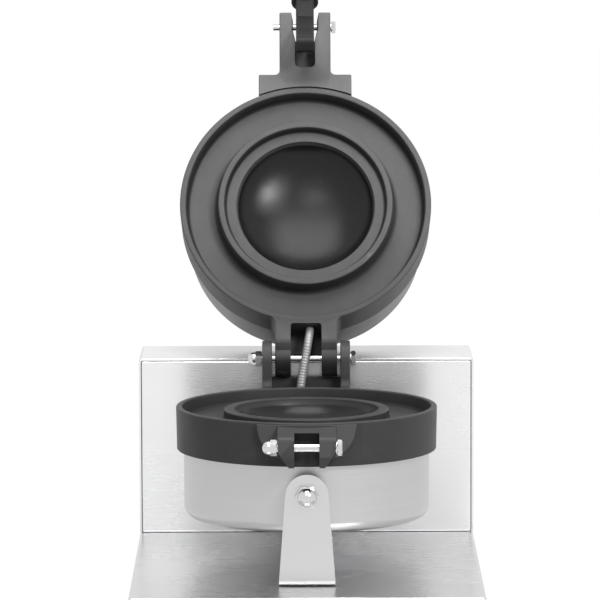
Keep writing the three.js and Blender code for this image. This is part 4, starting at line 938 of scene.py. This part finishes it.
def latchLever():
    p = leverParts
    half, boss, reach, throat, arm = (p[key] for key in ("half", "boss", "hookReach", "throat", "armHalf"))
    tip, low = reach + throat + p["lip"], -throat - p["hookBack"]
    hook = pushed([
        (-boss / 2, arm), (reach - throat, arm, 1.5), (reach - throat, -throat, 1.6), (reach + throat, -throat, 1.6),
        (reach + throat, arm - 1.5, 0.8), (tip, arm / 3, 2.4), (tip, low, 6.4),
        (reach / 2, -throat - p["hookBack"] / 2, 13), (0, -boss),
    ], "yz", -half, half, 0.9)
    moved(hook, about("X", p["hookAngle"]))
    hub = rod(boss, -half, half, "yz", soft=0.9)
    bar, high = p["bar"], p["barHalf"]
    neck = pushed([(-bar, -high), (0, -high), (0, high), (-bar, high)], "yz", -half, half, 1.1)
    body = combined(hook, [hub, neck], [rod(p["pinBore"], -half - 2, half + 2, "yz")])
    length, radius, neck, bore = p["grip"], p["gripRadius"], p["gripNeck"], p["studBore"]
    gripStart = bar + p["collarLength"]
    stud = moved(rod(p["stud"], bar - 5, gripStart + length + p["studEnd"], soft=0.5), toFront)
    placed(gathered(body, stud), "lever_arm", "latch", "lacquer", leverPlace, ["latch_lever"], 32)
    collar = turned([(bore - 0.1, 0), (p["collar"], 0, 0.9), (p["collar"], p["collarLength"], 0.9),
                     (bore - 0.1, p["collarLength"])], 64)
    placed(collar, "grip_washer", "latch", "lacquer",
           at(leverPlace, 0, -bar - gap, 0, toFront), ["grip_collar"])
    grip = turned([(bore, 0), (neck, 0, 1.5), (neck + 1.5, length / 10, 10), (radius, length / 2, 38),
                   (radius - 0.7, length - radius / 2, 7), (neck - 1.5, length, 3.4), (bore, length)], 96, 10)
    placed(grip, "handle_shell", "latch", "bakelite",
           at(leverPlace, 0, -gripStart - 2 * gap, 0, toFront), ["handle_grip"])
    chromed(acorn("m8"), "grip_dome", "latch",
            at(leverPlace, 0, -gripStart - length - 3 * gap, 0, toFront), ["grip_nut"])


latchLever()
print("latch made")


# Controls on the skirt of the base
knobParts = {"radius": 18, "grip": 13, "skirt": 4, "height": 19, "flutes": 16, "flute": 0.7,
             "insets": [(1 - 0.94, 0), (1 - 0.86, 0.2)], "ticks": 11, "tickTurn": -27}


def knobShape():
    k = knobParts
    skirt = turned([(0, 0), (k["radius"], 0, 0.6), (k["radius"], k["skirt"] / 2, 1), (k["grip"] + 0.5, k["skirt"], 0.6),
                    (0, k["skirt"])], 96)
    bm = bmesh.new()
    bmesh.ops.create_circle(bm, cap_ends=True, segments=k["flutes"] * 8, radius=k["grip"])
    for vert in bm.verts:  # shallow flutes round the grip
        turn = math.atan2(vert.co.y, vert.co.x)
        vert.co *= 1 + k["flute"] / k["grip"] * math.cos(k["flutes"] * turn)
    shifted(bm, (0, 0, k["skirt"] / 2))
    raised(bm, (0, 0, k["height"] - k["skirt"] / 2))
    tidied(bm)
    for rim, drop in k["insets"]:
        face = max(bm.faces, key=lambda f: f.calc_center_median().z)
        bmesh.ops.inset_individual(bm, faces=[face], thickness=rim * k["grip"], depth=-drop)
    return gathered(skirt, bm)


def knobAt(name, body, x):
    k = knobParts
    place = at(machine, x, common["baseFrontY"] - gap, controls["z"], toFront)
    placed(knobShape(), name + "_dial", body, "plastic", place, [name + "_knob"], 40)
    pointer = slab(-0.6, 0.6, k["grip"] * 0.35, k["grip"] * 0.98, k["height"] - 0.6, k["height"] + 0.35, 0.25)
    placed(pointer, name + "_pointer", body, "mark", place)
    ticks = []
    for number in range(k["ticks"]):
        tick = slab(-0.35, 0.35, k["radius"] + 2, k["radius"] + (5 if number % 5 == 0 else 3.6), -0.22, -0.12)
        ticks.append(moved(tick, about("Z", k["tickTurn"] * number)))
    placed(gathered(*ticks), name + "_scale", "base", "plastic", place)


lampOutline = [(0, -22), (5, -22), (5, 0.3), (7, 0.3, 0.3), (7, 2, 0.8), (5.2, 2, 0.3), (4.6, 3.4, 1.4), (2.4, 4.5, 2),
               (0, 4.5)]


def lampAt(name, x, lens):
    place = at(machine, x, common["baseFrontY"], controls["z"], toFront)
    placed(turned(lampOutline, 64), name + "_lens", "base", lens, place, [name])


switchParts = {"half": 11, "high": 15, "flange": 2, "wall": 1.5, "face": -2, "length": 20, "well": 10}


def switchPieces():
    s = switchParts
    w, h, wall = s["half"], s["high"], s["wall"]
    wide, tall = w + s["flange"], h + s["flange"]
    flange = pushed([(-wide, -tall, 1.6), (wide, -tall, 1.6), (wide, tall, 1.6), (-wide, tall, 1.6)], "xz",
                    s["face"], -gap, 0.5)
    body = slab(-w, w, -1.2, s["length"], -h, h)
    well = slab(-w + wall, w - wall, -4, s["well"], -h + wall, h - wall)
    placed(combined(flange, [body], [well]), "switch_bezel", "base", "plastic",
           at(machine, controls["power"], common["baseFrontY"], controls["z"]), ["power_switch"])


knobAt("temperature", "temperature_dial", controls["temperature"])
knobAt("timer", "timer_dial", controls["timer"])
lampAt("power_lamp", controls["powerLamp"], "greenLens")
lampAt("heating_lamp", controls["heatLamp"], "redLens")
switchPieces()
print("controls made")


# Feet
footParts = {"radius": 14, "height": 11.7, "bore": 3, "recess": 2.5}


def footShape():
    f = footParts
    bore, radius, recess, height = f["bore"], f["radius"], f["recess"], f["height"]
    return turned([(bore, recess), (radius / 2, recess, 0.5), (radius / 2, 0, 0.5), (radius - recess, 0, 1.2),
                   (radius, height, 0.8), (bore, height, 0.4)], 64)


for corner in ("front_left", "front_right", "rear_left", "rear_right"):
    low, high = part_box("foot_" + corner)
    spot = Vector(((low.x + high.x) / 2, (low.y + high.y) / 2, 0))
    placed(footShape(), "pad_" + corner, "base", "rubber",
           Matrix.Translation(spot) @ millimetres, ["foot_" + corner])
print("feet made")


# The other CAD nodes keep their shapes and get their finishes
kept = {
    "zinc": [
        "base_cover", "bracket_bolt", "bracket_spacer", "bracket_screw_left", "bracket_screw_right",
        "lower_heater_clamp", "lower_stud", "lower_clamp_nut", "lower_casing_nut", "lid_heater_clamp", "lid_stud",
        "lid_clamp_nut", "conduit_nut_front", "conduit_nut_rear", "temperature_spindle", "timer_spindle",
        "thermostat", "timer_movement",
    ],
    "plastic": ["power_rocker", "cable_gland", "gland_lock_nut"],
    "heater": ["lower_heater", "lid_heater"],
    "panel": ["box_back_panel"], "rubber": ["lid_stop"], "porcelain": ["terminal_block"],
}
for kind, names in kept.items():
    for name in names:
        slots = nodes[name].data.materials
        slots.clear()
        slots.append(finish[kind])
print("kept nodes finished:", sum(len(names) for names in kept.values()))


# Floor, world and lamps
studio = {
    "floorColour": (0.38, 0.38, 0.38), "floorShare": 0.8, "floorGlow": 1.22, "floorHalf": 6, "floorDrop": 0.0005,
    "ambient": 0.17, "target": (0, 0.05, 0.25),
    "lamps": {  # each with its place, size and power
        "keySoftbox": ((1.2, -1.9, 1.65), 0.6, 38),
        "frontSoftbox": ((-0.25, -2, 1.9), 0.5, 6),
        "topSoftbox": ((0, -0.25, 1.15), 0.6, 6),
    },
}


def seenRay(tree):  # 1 for what the camera, a gloss or a clear lens sees
    rays = add(tree, "ShaderNodeLightPath").outputs
    seen = reckoned(tree, "MAXIMUM", rays["Is Camera Ray"], rays["Is Glossy Ray"])
    return reckoned(tree, "MAXIMUM", seen, rays["Is Transmission Ray"])


def blended(tree, share, first, second, output):
    blend = add(tree, "ShaderNodeMixShader")
    for socket, source in zip(blend.inputs, (share, first, second)):
        tree.links.new(source, socket)
    tree.links.new(blend.outputs["Shader"], tree.nodes[output].inputs["Surface"])


def paleFloor():
    bm = bmesh.new()
    bmesh.ops.create_grid(bm, x_segments=8, y_segments=8, size=studio["floorHalf"])
    floor = linked("floor", meshOf(bm, "floor"))
    floor.location.z = -studio["floorDrop"]
    material, tree, shader = newFinish("paleFloor", studio["floorColour"], 0, 0.9)
    glow = add(tree, "ShaderNodeEmission", Strength=studio["floorGlow"])
    share = reckoned(tree, "MULTIPLY", seenRay(tree), studio["floorShare"])
    blended(tree, share, shader.outputs["BSDF"], glow.outputs["Emission"], "Material Output")
    floor.data.materials.append(material)
    floor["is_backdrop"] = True


def whiteWorld():
    world = bpy.data.worlds.new("studio")
    bpy.context.scene.world = world
    world.use_nodes = True
    tree = world.node_tree
    seen = tree.nodes["Background"]
    seen.inputs["Color"].default_value = (1, 1, 1, 1)
    seen.inputs["Strength"].default_value = 1
    lit = add(tree, "ShaderNodeBackground", Color=(1, 1, 1, 1), Strength=studio["ambient"])
    blended(tree, seenRay(tree), lit.outputs["Background"], seen.outputs["Background"], "World Output")


def softboxes():
    for name, (place, size, power) in studio["lamps"].items():
        data = bpy.data.lights.new(name, "AREA")
        data.size = size
        data.energy = power
        turn = (Vector(studio["target"]) - Vector(place)).to_track_quat("-Z", "Y")
        linked(name, data).matrix_world = Matrix.LocRotScale(Vector(place), turn, None)


paleFloor()
whiteWorld()
softboxes()
bpy.context.scene.view_settings.view_transform = "Standard"
print("studio made")

low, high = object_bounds()
